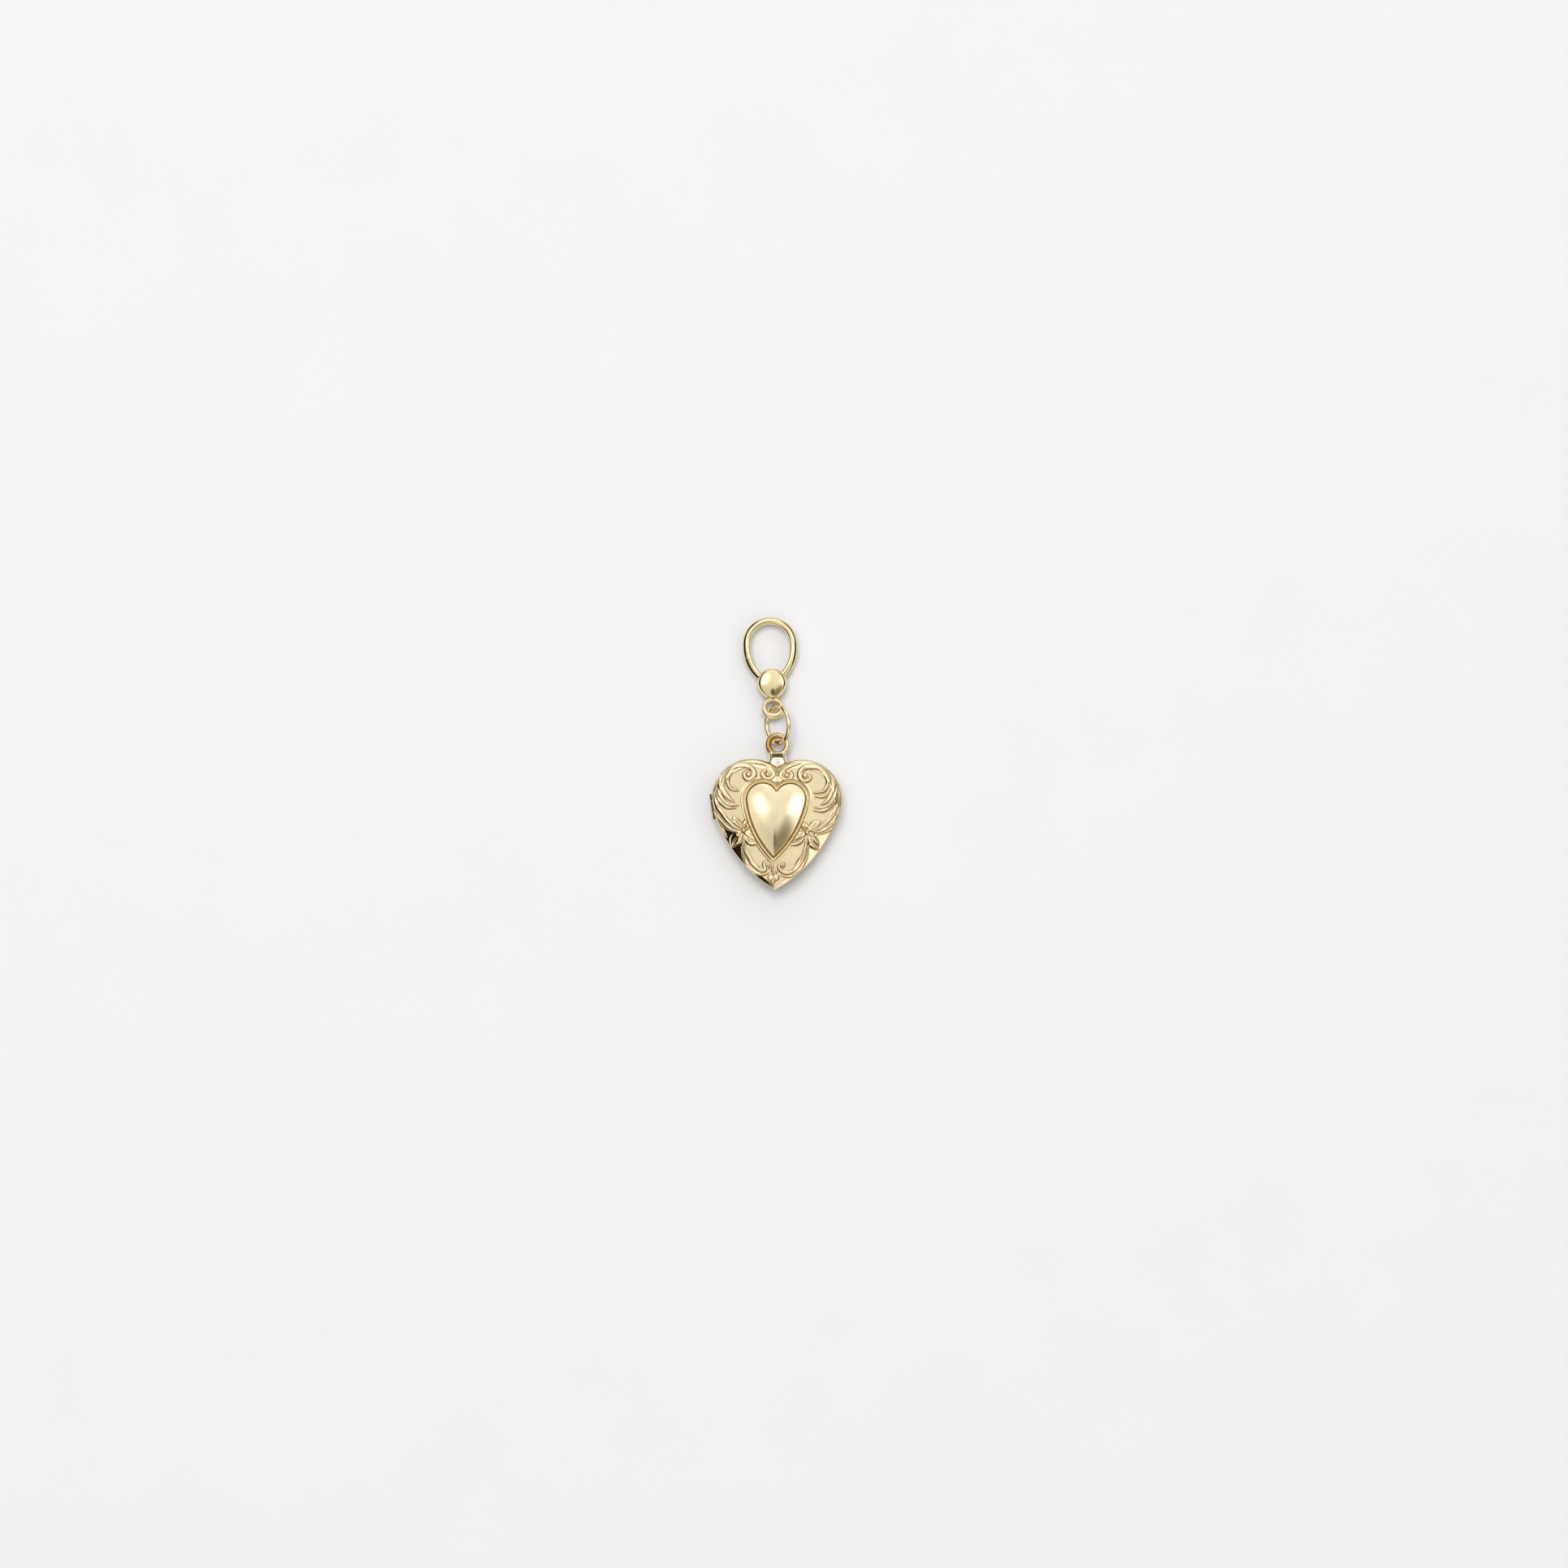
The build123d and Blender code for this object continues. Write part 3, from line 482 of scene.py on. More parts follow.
# %% Room for the hinge barrel
HINGE_AT = 2.6  # height of the hinge's middle
HINGE_LEAN = radians(10.0)
HINGE_HALF = 2.03  # half the length of the room
HINGE_INSIDE = 0.2  # how far its line lies inside the outline
OUTER_ROOM, INNER_ROOM = 0.57, 0.95  # how far the outer and inner side of a shell stay from it
hinge_drop = HEART["height"] - HINGE_AT
hinge_x = HEART["lobe"] - HEART["half"] - sqrt(HEART["lobe"] ** 2 - hinge_drop**2) + HINGE_INSIDE
hinge_line = np.array([-sin(HINGE_LEAN), cos(HINGE_LEAN)])
hinge_in = np.array([hinge_line[1], -hinge_line[0]])


def hinge_room(grid, radius, sign):
    """The same grid with room for the hinge barrel: points inside that radius move in past it.

    sign is 1 for the cover, whose room lies above the seam, and -1 for the back. The room ends
    a little past the seam, at the ends of the hinge, and 1.2 millimetres inside its line.
    """
    away = grid[..., :2] - [hinge_x, HINGE_AT]
    along, across = away @ hinge_line, away @ hinge_in
    up = (grid[..., 2] - SEAM) * sign
    window = np.clip((HINGE_HALF - np.abs(along)) / 0.06, 0, 1)
    reach = np.sqrt(np.clip(radius**2 - up**2, 0, None)) * (up > -0.2)
    push = np.maximum(reach - across, 0) * window * (across < 1.2)
    moved = grid.copy()
    moved[..., :2] += push[..., None] * hinge_in
    return moved


def ring(outline_now, height):
    """One row of a piece: an outline at a height."""
    return np.concatenate([outline_now, np.full((len(outline_now), 1), height)], 1)[None]


def room_at(inset):
    """Room that a row at this inset keeps: the outer or the inner side's."""
    return OUTER_ROOM if inset < WALL / 2 else INNER_ROOM


print("Hinge line at", round(hinge_x, 3), "mm from the middle")

# %% Cover border
seam_up = SEAM + SEAM_GAP / 2
groove_floor = FIELD - GROOVE_DEPTH
groove_foot = puff_outline(-GROOVE_WIDTH - 0.05)
groove_wall = [ring(groove_foot, groove_floor - 0.25),
               ring(puff_outline(-GROOVE_WIDTH + 0.03), groove_floor - 0.12),
               ring(puff_outline(-GROOVE_WIDTH + 0.02), FIELD - 0.14),
               ring(puff_outline(-GROOVE_WIDTH - 0.02), FIELD - 0.03)]
rows = [*groove_wall, top]
for inset, height in ((0.0, SEAM + RIM - 0.1), (0.0, SEAM + 0.5), (0.0, seam_up + 0.06),
                      (0.02, seam_up + 0.015), (0.07, seam_up), (WALL - 0.05, seam_up),
                      (WALL, seam_up + 0.05), (WALL, SEAM + 0.4)):
    rows.append(hinge_room(ring(heart_outline(HEART, inset, AROUND), height), room_at(inset), 1))
for inside in np.linspace(0, SHOULDER_REACH, 6):
    rows.append(hinge_room(ring(heart_outline(HEART, WALL + inside, AROUND),
                                SEAM + RIM - PLATE + shoulder(inside)), INNER_ROOM, 1))
inner_limit = heart_outline(HEART, WALL + SHOULDER_REACH, AROUND)
rows += [ring(inner_limit * (1 - step) + groove_foot * step, FIELD - PLATE) for step in (0.5, 0.96)]
top_rows = slice(len(groove_wall), len(groove_wall) + SPREAD)
border = np.concatenate(rows)
border[top_rows] = hinge_room(border[top_rows], OUTER_ROOM, 1)
# Painted shade on the groove's wall, in the sunk lines and along the rim
painted_shade = np.zeros(border.shape[:2])
painted_shade[:len(groove_wall)] = 1
painted_shade[top_rows] = np.clip(np.maximum(sunk * faces_away_shade * fade, rim_shade), 0, 1)
put_mesh("cover_border", in_row(border, LOCKET), "cover", nodes=("locket_front",),
         closed_rows=True, painted_shade=painted_shade)

# %% [markdown]
# The raised heart and its groove are a second closed piece, whose edge hides under the border's
# groove wall. The heart falls away broadly from its middle, which tips the two lobes outward,
# where they catch the lights, and drops once more toward the outline. The distances to the left
# and the right side are blended for that, so that a soft ridge runs down to the tip. A steep foot
# takes it down into the groove.

# %% Raised heart
CROWN_TOP = 1.42  # height of its middle over the groove's floor
CROWN_WALL = 0.15  # how far in the steep foot reaches
CROWN_MIDDLE = 1.2  # height up the heart from which it falls away
CROWN_DOME = (0.22, 2.8)  # drop toward the outline and how far in it begins
CROWN_FALL = (0.028, 0.024, 0.008)  # height lost per square millimetre: sideways, up, down
RIDGE_SOFT = 0.16  # how broadly the two sides blend on the middle line
# Section of the groove: how far outside the heart's outline, how far below its floor, painted shade
GROOVE_SECTION = [(0.75, 0.3, 1), (0.76, 0.02, 1), (0.66, -0.06, 0.8), (0.6, -0.03, 0.75),
                  (0.5, 0.05, 0.6), (0.4, 0.09, 0.4), (0.28, 0.1, 0.35), (0.16, 0.08, 0.5),
                  (0.06, 0.02, 0.85)]
# Painted shade of the heart's first rows, at its foot in the groove
FOOT_SHADE = [0.7, 0.4, 0.2]  # hollow mark of the heart's first rows
PUFF_AROUND = 640
PUFF_SHELL = WALL + 0.2  # thickness of the raised heart, measured down
half = heart_half(PUFF, 0, 240)
right_side, left_side = leaned(half), leaned(half * [-1, 1])


def crown(points):
    """Height over the groove's floor inside the raised heart.

    The top height, less a broad fall with the square of the distance from the middle, less a
    parabola of the soft distance from the outline, and all times a quarter ellipse at the foot.
    """
    to_right, _ = nearest(points, right_side)
    to_left, _ = nearest(points, left_side)
    soft = -RIDGE_SOFT * np.log(np.exp(-to_right / RIDGE_SOFT) + np.exp(-to_left / RIDGE_SOFT))
    x, y = (points - [PUFF_SHIFT[0], CROWN_MIDDLE]).T
    fall = CROWN_FALL[0] * x**2 + np.where(y > 0, CROWN_FALL[1], CROWN_FALL[2]) * y**2
    dome = CROWN_DOME[0] * (1 - np.clip(soft / CROWN_DOME[1], 0, 1)) ** 2
    foot = np.clip(np.minimum(to_right, to_left) / CROWN_WALL, 0, 1)
    return (CROWN_TOP - fall - dome) * np.sqrt(1 - (1 - foot) ** 2)


groove = [ring(puff_outline(-outside, PUFF_AROUND), groove_floor - lower)
          for outside, lower, _ in GROOVE_SECTION]
pole = np.array([PUFF_SHIFT[0], 0.9])
shrink = 1 - np.linspace(0, 1, 90)[:-1, None, None] ** 1.7
flat = pole + (puff_outline(0, PUFF_AROUND) - pole) * shrink
height = crown(flat.reshape(-1, 2)).reshape(flat.shape[:2])
height[0] = 0.06
dome = np.concatenate([flat, (groove_floor + height)[..., None]], -1)
peak = np.append(pole, dome[-1, :, 2].mean())
shell_down = np.array([0, 0, PUFF_SHELL])
under = dome[::-1][::6] - shell_down
heart_marks = np.zeros(len(under) + len(groove) + len(dome))
listed = [mark for _, _, mark in GROOVE_SECTION] + FOOT_SHADE
heart_marks[len(under):len(under) + len(listed)] = listed
put_mesh("raised_heart", in_row(np.concatenate([under, *groove, dome]), LOCKET), "cover",
         nodes=("locket_front",), poles=(in_row(peak - shell_down, LOCKET), in_row(peak, LOCKET)),
         painted_shade=heart_marks[:, None])

# %% [markdown]
# The back shell is plain. One column of its section is carried round the outline: from the
# middle of the back out over the shoulder, up the band, over the seam, up the bezel that the
# cover closes over, down its inner side and across the floor of the hollow to the middle again.

# %% Back shell
BACK_AROUND = 480
BACK_MIDDLE = (0, 0.8)  # where its poles lie
BACK_FOOT = 1.9  # how far inside the outline its flat bottom begins
BEZEL_OUTSIDE, BEZEL_INSIDE = WALL + 0.1, WALL + 0.46  # insets of the bezel's two sides
BEZEL_TOP, BEZEL_ROUND = SEAM + 0.38, 0.04
HOLLOW_TURN = 0.15  # angle at which the rounded corner of the hollow leaves its wall
back_top = SEAM - SEAM_GAP / 2


def shrunk(inset, share):
    """The outline at an inset, drawn together toward the middle of the heart."""
    middle = np.array(BACK_MIDDLE)
    return middle + (heart_outline(HEART, inset, BACK_AROUND) - middle) * share


rows = [ring(shrunk(BACK_FOOT, share), 0.0) for share in (0.15, 0.4, 0.65, 0.85, 1.0)]
for angle in np.linspace(0, pi / 2, 14):
    rows.append(ring(heart_outline(HEART, SHOULDER_REACH * (1 - sin(angle)), BACK_AROUND),
                     SHOULDER_RISE * (1 - cos(angle))))
for inset, height in ((0.0, 2.0), (0.0, back_top - 0.06), (0.02, back_top - 0.015), (0.07, back_top),
                      (BEZEL_OUTSIDE - BEZEL_ROUND, back_top), (BEZEL_OUTSIDE, back_top + BEZEL_ROUND),
                      (BEZEL_OUTSIDE, BEZEL_TOP - BEZEL_ROUND), (BEZEL_OUTSIDE + BEZEL_ROUND, BEZEL_TOP),
                      (BEZEL_INSIDE - BEZEL_ROUND, BEZEL_TOP), (BEZEL_INSIDE, BEZEL_TOP - BEZEL_ROUND),
                      (BEZEL_INSIDE, back_top - 0.5), (BEZEL_OUTSIDE, back_top - 0.8)):
    row = ring(heart_outline(HEART, inset, BACK_AROUND), height)
    if height > SEAM:  # the bezel stops short of the hinge
        away = row[0, :, :2] - [hinge_x, HINGE_AT]
        beside = (np.abs(away @ hinge_line) < HINGE_HALF + 0.15) & (np.abs(away @ hinge_in) < 2)
        row[0, beside, 2] = back_top - 0.02
    rows.append(hinge_room(row, room_at(inset), -1))
for angle in np.linspace(HOLLOW_TURN, pi / 2, 8):
    inset = BEZEL_OUTSIDE + SHOULDER_REACH * (1 - cos(angle))
    rows.append(ring(heart_outline(HEART, inset, BACK_AROUND),
                     PLATE + (back_top - 1.0 - PLATE) * (1 - sin(angle))))
rows += [ring(shrunk(BEZEL_OUTSIDE + SHOULDER_REACH, share), PLATE) for share in (0.8, 0.5, 0.2)]
put_mesh("back_shell", in_row(np.concatenate(rows), LOCKET), "base", nodes=("locket_back",),
         poles=[in_row([*BACK_MIDDLE, height], LOCKET) for height in (0, PLATE)])

# %% [markdown]
# Wires and bars: a section carried along a path. The section is a superellipse, which is a
# circle swollen toward a box, or a listed half, mirrored, and its width and height may
# change on the way. A cut takes off what stands out past a place to the side of the path, and
# leaves a flat face there. Rings close on themselves. An open end is closed by a pole, and a few
# smaller rows before it can round the end off.

# %% Bar along a path
UNCUT = 9.0  # a cut so far out cuts nothing


def superellipse(around, power):
    """Closed section (around, 2) of half size 1: a circle swollen toward a box."""
    angle = np.linspace(0, 2 * pi, around, endpoint=False)
    point = np.stack([np.cos(angle), np.sin(angle)], -1)
    return np.sign(point) * np.abs(point) ** (2 / power)


def bar(path, wide, high, closed, section=superellipse(28, 2.0), up=(0, 0, 1), cut=(-UNCUT, UNCUT)):
    """Grid of a bar along path (n, 3): at each point a section across the path.

    Side is the cross of the path's direction and up. wide and high, the half sizes, may be
    arrays, and so may the two cuts, which end the section at a place to that side of the path.
    A point that is moved to a cut is lowered to the section's own height there.
    """
    ahead = np.roll(path, -1, 0) - np.roll(path, 1, 0) if closed else np.gradient(path, axis=0)
    ahead /= np.linalg.norm(ahead, axis=1, keepdims=True)
    side = np.cross(ahead, up)
    side /= np.linalg.norm(side, axis=1, keepdims=True)
    top_way = np.cross(side, ahead)
    x, y = section.T
    top_half = section[:len(section) // 2 + 1]
    top_half = top_half[np.argsort(top_half[:, 0])]
    wide, high, low, far = (np.broadcast_to(np.asarray(v, float), len(path))[:, None]
                            for v in (wide, high, *cut))
    sideways = np.clip(wide * x, np.minimum(low, wide), np.maximum(far, -wide))
    reach = np.interp(sideways / wide, *top_half.T)
    upward = high * np.clip(y, -reach, reach)
    return path[:, None] + side[:, None] * sideways[..., None] + top_way[:, None] * upward[..., None]


def blunt(count, depth=3):
    """Shares that round off the start of a bar: a quarter circle over its first few rows."""
    share = np.ones(count)
    share[:depth] = np.sin(np.linspace(0.12, pi / 2, depth))
    return share


# %% [markdown]
# Hinge: two end knuckles on the back, one on the cover and the pin through them. A knuckle is a
# drop shape, a round barrel whose inner side runs on as a short leaf into the shell. The hinge's
# pin and the gate's keep the frame's shape and only get a finish.

# %% Hinge knuckles
KNUCKLE = 0.38  # radius of the barrel
LEAF = 0.62  # how far the leaf runs on


def knuckle(name, first, last, sign, body, nodes):
    """A drop-shaped section carried along the hinge line from first to last."""
    angle = np.linspace(0, 2 * pi, 40, endpoint=False)
    across, up = KNUCKLE * np.cos(angle), KNUCKLE * np.sin(angle)
    leaf = (across > 0) & (up > -0.12)
    across = np.where(leaf, across + LEAF * np.clip(across / KNUCKLE, 0, 1) ** 0.5, across)
    up = up * sign
    along = np.array([first, first + 0.02, first + 0.08, last - 0.08, last - 0.02, last])
    size = np.array([0.86, 0.96, 1, 1, 0.96, 0.86])[:, None]
    flat = (np.array([hinge_x, HINGE_AT]) + along[:, None, None] * hinge_line
            + (size * across)[..., None] * hinge_in)
    grid = np.concatenate([flat, (SEAM + size * up)[..., None]], -1)
    ends = [in_row([*row[:, :2].mean(0), SEAM + 0.1 * sign], LOCKET) for row in grid[[0, -1]]]
    # Painted shade over the whole knuckle
    put_mesh(name, in_row(grid, LOCKET), body, nodes=nodes, poles=ends, painted_shade=0.5)


knuckle("hinge_knuckle_cover", -0.85, 0.85, 1, "cover", ("locket_front",))
knuckle("hinge_knuckle_low", -1.95, -0.93, -1, "base", ("locket_back",))
knuckle("hinge_knuckle_high", 0.93, 1.95, -1, "base", ("locket_back",))

# %% [markdown]
# The neck stands in the notch and carries the bail ring. It is a small cast stem: a flat pale
# tongue down the front, a flank falling away on each side, a foot that flares along the heart's
# top edge, and a saddle in its top. Its rows climb the stem, and each is a closed section.

# %% Neck
NECK_FOOT, NECK_TOP = 8.35, 11.32
climb = np.linspace(NECK_FOOT, NECK_TOP, 46)
# At heights up the neck: its half width, the half width of its tongue, and how far it stands forward
waist = np.interp(climb, [NECK_FOOT, 9.1, 9.5, 10.0, 10.6, NECK_TOP], [1.9, 1.9, 1.72, 1.42, 1.32, 1.3])
tongue = np.interp(climb, [NECK_FOOT, 9.3, 10.3, 10.7, NECK_TOP], [0.1, 0.1, 0.05, 0.6, 1.0])
front = np.interp(climb, [NECK_FOOT, 9.0, 10.2, 10.6, NECK_TOP], [1.1, 1.1, 1.02, 0.8, 0.45])
angle = np.linspace(0, 2 * pi, 96, endpoint=False)
across = waist[:, None] * np.sign(np.cos(angle)) * np.abs(np.cos(angle)) ** 0.8
flank = np.clip((np.abs(across) - tongue[:, None]) / (waist[:, None] - tongue[:, None] + 1e-6), 0, 1)
lift = front[:, None] * np.where(np.sin(angle) >= 0, 1 - 0.45 * flank**2 - 0.45 * flank**8,
                                 -(1 - flank**2) ** 0.5 * 0.98)
lift = np.where(np.abs(np.sin(angle)) < 1e-6, 0, lift)
saddle = np.clip((climb[:, None] - 10.2) / 1.1, 0, 1) ** 2 * 0.38 * np.clip(1 - (across / 1.2) ** 2, 0, 1)
# Above the seam the neck keeps inside the notch, so that the cover can open past it
notch_half = HEART["half"] - HEART["lobe"] - np.sqrt(
    np.clip(HEART["lobe"] ** 2 - (climb - HEART["height"]) ** 2, 0, None))
notch_half = np.where(climb > HEART["height"] + HEART["lobe"], 9, np.maximum(notch_half - 0.1, 0.02))
kept = np.where(lift > -0.06, np.clip(across, -notch_half[:, None], notch_half[:, None]), across)
neck = np.stack([kept, climb[:, None] - saddle, SEAM + lift], -1)
low, high = neck[0].mean(0), neck[-1].mean(0) - [0, 0.12, 0]
# Painted shadow under the bail ring, across the front of the neck
shade_under_ring = (np.clip((climb[:, None] - 10.25) / 0.12, 0, 1)
                    * np.clip((1.0 - np.abs(across)) / 0.2, 0, 1)
                    * np.clip((11.1 - climb[:, None]) / 0.12, 0, 1))
put_mesh("neck", in_row(neck, LOCKET), "base", nodes=("locket_back",),
         poles=(in_row(low, LOCKET), in_row(high, LOCKET)), painted_shade=shade_under_ring)

# %% [markdown]
# The bail ring is a plain round ring. Its left side and the upper left of its inside carry painted
# shade, a deeper, rosier gold.

# %% Bail ring
BAIL_AT = 12.29
BAIL_WIRE = 0.425
BAIL_RADIUS = (3.77 - 2 * BAIL_WIRE) / 2
turn = np.linspace(0, 2 * pi, 160, endpoint=False)
circle = np.stack([BAIL_RADIUS * np.cos(turn), BAIL_AT + BAIL_RADIUS * np.sin(turn),
                   np.full(len(turn), SEAM)], -1)
ring_grid = bar(circle, BAIL_WIRE - 0.02 * np.cos(turn), BAIL_WIRE, True)
round_wire = np.linspace(0, 2 * pi, 28, endpoint=False)
# Painted shade: the ring's left side, and inside it toward the upper left
inner_shade_band = np.exp(-((round_wire - 2.3) / 0.5) ** 2)  # inside the ring, on its upper side
upper_left = np.clip(0.3 + np.cos(turn - radians(125)), 0, 1)[:, None]
bail_shade = 0.65 * np.clip(0.4 - np.cos(turn), 0, 1)[:, None] + 0.7 * upper_left * inner_shade_band
put_mesh("bail_ring", in_row(ring_grid, LOCKET), "base", nodes=("locket_back",),
         closed_rows=True, painted_shade=bail_shade)

# %% [markdown]
# The jump ring is one round wire bent to a ring, with a fine split where its ends meet. It
# leans through the bail ring and the clasp's eye, as the frame has it.

# %% Jump ring
JUMP_TILT, JUMP_TURN = radians(53.0), radians(4.0)
JUMP_RADIUS, JUMP_WIRE = (6.42 - 0.76) / 2, 0.38
centre = np.array([0.21, 4.33, JUMP_RADIUS * sin(JUMP_TILT) + JUMP_WIRE])
down = np.array([sin(JUMP_TURN), -cos(JUMP_TURN), 0])
across = np.array([cos(JUMP_TURN) * cos(JUMP_TILT), sin(JUMP_TURN) * cos(JUMP_TILT), sin(JUMP_TILT)])
turn = np.linspace(radians(30.5), radians(389.5), 200)
path = centre + JUMP_RADIUS * (np.cos(turn)[:, None] * down + np.sin(turn)[:, None] * across)
size = JUMP_WIRE * np.concatenate([[0.8, 0.95], np.ones(196), [0.95, 0.8]])
wire = bar(path, size, size, False, up=np.cross(down, across))
# Painted shade where it lies in the clasp's eye and in the bail ring
shade_in_rings = np.exp(-((turn - 2 * pi) / 0.3) ** 2) + np.exp(-((turn - pi) / 0.35) ** 2)
put_mesh("jump_ring_wire", wire, "base", nodes=("jump_ring",), poles=(path[0], path[-1]),
         painted_shade=0.5 * shade_in_rings[:, None])

# %% [markdown]
# The clasp. Its hook is a bar bent to a tall loop, and the gate is the last part of that same
# bar, cut off along a slanting seam. So both are drawn as the whole bar, and each one ends at its
# side of the seam, which runs from the bar's inner side at the top to its outer side below.

# %% Bar and seam of the clasp
LOOP_SHIFT, LOOP_AT, LOOP_RADIUS = -0.13, 6.16, 3.62
ARM_RADIUS, ARM_START = 6.1, 5.6
CLASP_MIDDLE = 1.6  # height of the bar's middle
BAR_HALF = 0.595  # half width of the bar
# The seam: heights up the clasp, and its place to the side of the bar's middle there
SEAM_UP = (3.9, 4.2, 4.7, 5.4, 5.8, 6.1)
SEAM_PLACE = (-0.6, -0.22, -0.06, 0.06, 0.2, 0.6)
SEAM_HALF = 0.018  # half of the gap
# Half of the bar's section, as shares of its half width and half height, from its outer edge over
# the top to its inner edge. It falls away slowly outward and steeply inward.
BAR_TOP = [(1.0, 0.0), (0.975, 0.27), (0.88, 0.5), (0.73, 0.655), (0.5, 0.8), (0.28, 0.92),
           (0.03, 0.993), (-0.25, 1.0), (-0.58, 0.935), (-0.83, 0.75), (-0.965, 0.44), (-1.0, 0.0)]
over = even(smooth_path(BAR_TOP), 33)
bar_section = np.vstack([over, (over * [1, -1])[-2:0:-1]])


def arm(side, low, high, count):
    """One arm of the loop, from low to high: an arc that turns in toward the button."""
    y = np.linspace(low, high, count)
    x = LOOP_RADIUS - ARM_RADIUS + np.sqrt(ARM_RADIUS**2 - np.clip(ARM_START - y, 0, None) ** 2)
    return np.stack([LOOP_SHIFT + side * x, y], -1)


def level(flat):
    """A flat path at the height of the clasp's middle."""
    return np.insert(flat, 2, CLASP_MIDDLE, 1)


print("Section of the bar:", len(bar_section), "points")

# %% Hook
HOOK_FOOT = 0.7  # how far up the clasp the right arm leaves the button
turn = np.linspace(0, pi, 90)
crest = np.stack([LOOP_SHIFT + LOOP_RADIUS * np.cos(turn), LOOP_AT + LOOP_RADIUS * np.sin(turn)], -1)
right_arm, left_arm = arm(1, HOOK_FOOT, LOOP_AT, 60), arm(-1, 3.93, LOOP_AT, 60)[::-1]
path = level(even(np.vstack([right_arm[:-1], crest, left_arm[1:]]), 280))
left = path[:, 0] < LOOP_SHIFT - 1
seam = np.where(left & (path[:, 1] < SEAM_UP[-1]), np.interp(path[:, 1], SEAM_UP, SEAM_PLACE), UNCUT)
foot = np.where(left, 1, np.clip((path[:, 1] - HOOK_FOOT) / 1.6, 0, 1))
round_off = blunt(len(path))
hook = bar(path, BAR_HALF * round_off, (0.75 - 0.12 * (1 - foot)) * round_off, False, bar_section,
           cut=(SEAM_HALF - seam, UNCUT))
put_mesh("clasp_hook", in_row(hook, CLASP), "base", nodes=("clasp_frame",),
         poles=(in_row(path[0], CLASP), in_row(hook[-1].mean(0), CLASP)))

# %% Gate
GATE_FOOT, GATE_TOP = 0.55, 6.08
path = level(even(arm(-1, GATE_FOOT, GATE_TOP, 80), 170))
seam = np.where(path[:, 1] > SEAM_UP[0], np.interp(path[:, 1], SEAM_UP, SEAM_PLACE), -UNCUT)
wide = np.interp(path[:, 1], (0.5, 2.6), (0.5, BAR_HALF))
height = np.interp(path[:, 1], (0.5, 1.6, 4.2), (0.55, 0.56, 0.74))
round_off = blunt(len(path))
gate = bar(path, wide * round_off, height * round_off, False, bar_section * [-1, 1],
           cut=(seam + SEAM_HALF, UNCUT))
put_mesh("gate_lever", in_row(gate, CLASP), "gate", nodes=("clasp_gate",),
         poles=(in_row(path[0], CLASP), in_row(gate[-1].mean(0), CLASP)))

# %% [markdown]
# The button is one casting with its flange. Its section is the same all round: a shallow dome, a
# flange that falls away to a rounded rim, and the same again below. The outline is an egg, a
# little narrower at the foot. A slot for the gate is sunk into the rim on the side where the lever
# turns: there the rim's middle rows are drawn in toward the centre, and darkened with painted shade.

# %% Clasp button
BUTTON_RISE = 1.6  # half its thickness
DOME_FALL, FLATTER = 0.2, 0.04  # fall of the dome at its edge, and how much less it is sideways
DOME_SHARES = (0.08, 0.2, 0.35, 0.5, 0.64, 0.76, 0.86, 0.93, 0.98)
# Rows of the flange: share of the way from the dome's edge to the rim, and height over the middle
FLANGE_ROWS = ((0.04, 1.385), (0.16, 1.34), (0.32, 1.285), (0.5, 1.215), (0.66, 1.13),
               (0.8, 1.03), (0.91, 0.9), (0.97, 0.78), (1.0, 0.66))
SLOT_HALF = 0.635  # half height of the slot
SLOT_DEPTH = 0.72  # share of the way to the middle that the slot is sunk
turn = np.linspace(0, 2 * pi, 240, endpoint=False)


def egg(half_wide, half_high, narrower):
    """Outline of an ellipse whose lower half is narrower toward the foot by that share."""
    low = np.clip(-np.sin(turn), 0, 1)
    return np.stack([half_wide * np.cos(turn) * (1 - narrower * low), half_high * np.sin(turn)], -1)


button_line, flange_line = egg(1.8, 2.05, 0.14), egg(2.3, 2.4, 0.17)


def face_rows(sign):
    """Rows from the middle of a face of the button out to the rim; +1 is the front."""
    flatter = FLATTER * np.cos(turn) ** 2
    rows = [(button_line * share, BUTTON_RISE - (DOME_FALL - flatter) * share**2.2)
            for share in DOME_SHARES]
    rows += [(button_line * (1 - share) + flange_line * share, rise + flatter * (1 - share) ** 2)
             for share, rise in FLANGE_ROWS]
    return [np.column_stack([line, CLASP_MIDDLE + sign * rise]) for line, rise in rows]


slot_way = np.clip((np.cos(turn - radians(160)) - 0.45) / 0.08, 0, 1)
slot_line = flange_line * (1 - SLOT_DEPTH * slot_way[:, None])
slot_rows = [np.insert(slot_line, 2, CLASP_MIDDLE + rise, 1) for rise in (SLOT_HALF, 0.0, -SLOT_HALF)]
face = face_rows(1)
button = np.stack([*face, *slot_rows, *face_rows(-1)[::-1]])
slot_shade = np.zeros(button.shape[:2])
slot_shade[len(face):-len(face)] = slot_way
put_mesh("clasp_button", in_row(button, CLASP), "base", nodes=("clasp_frame",),
         poles=[in_row([0, 0, CLASP_MIDDLE + rise], CLASP) for rise in (BUTTON_RISE, -BUTTON_RISE)],
         painted_shade=slot_shade)

# %% [markdown]
# The clasp's eye is a ring between two ellipses, whose middles differ a little, so that it is
# thicker at the foot than at the top, where it runs into the button.

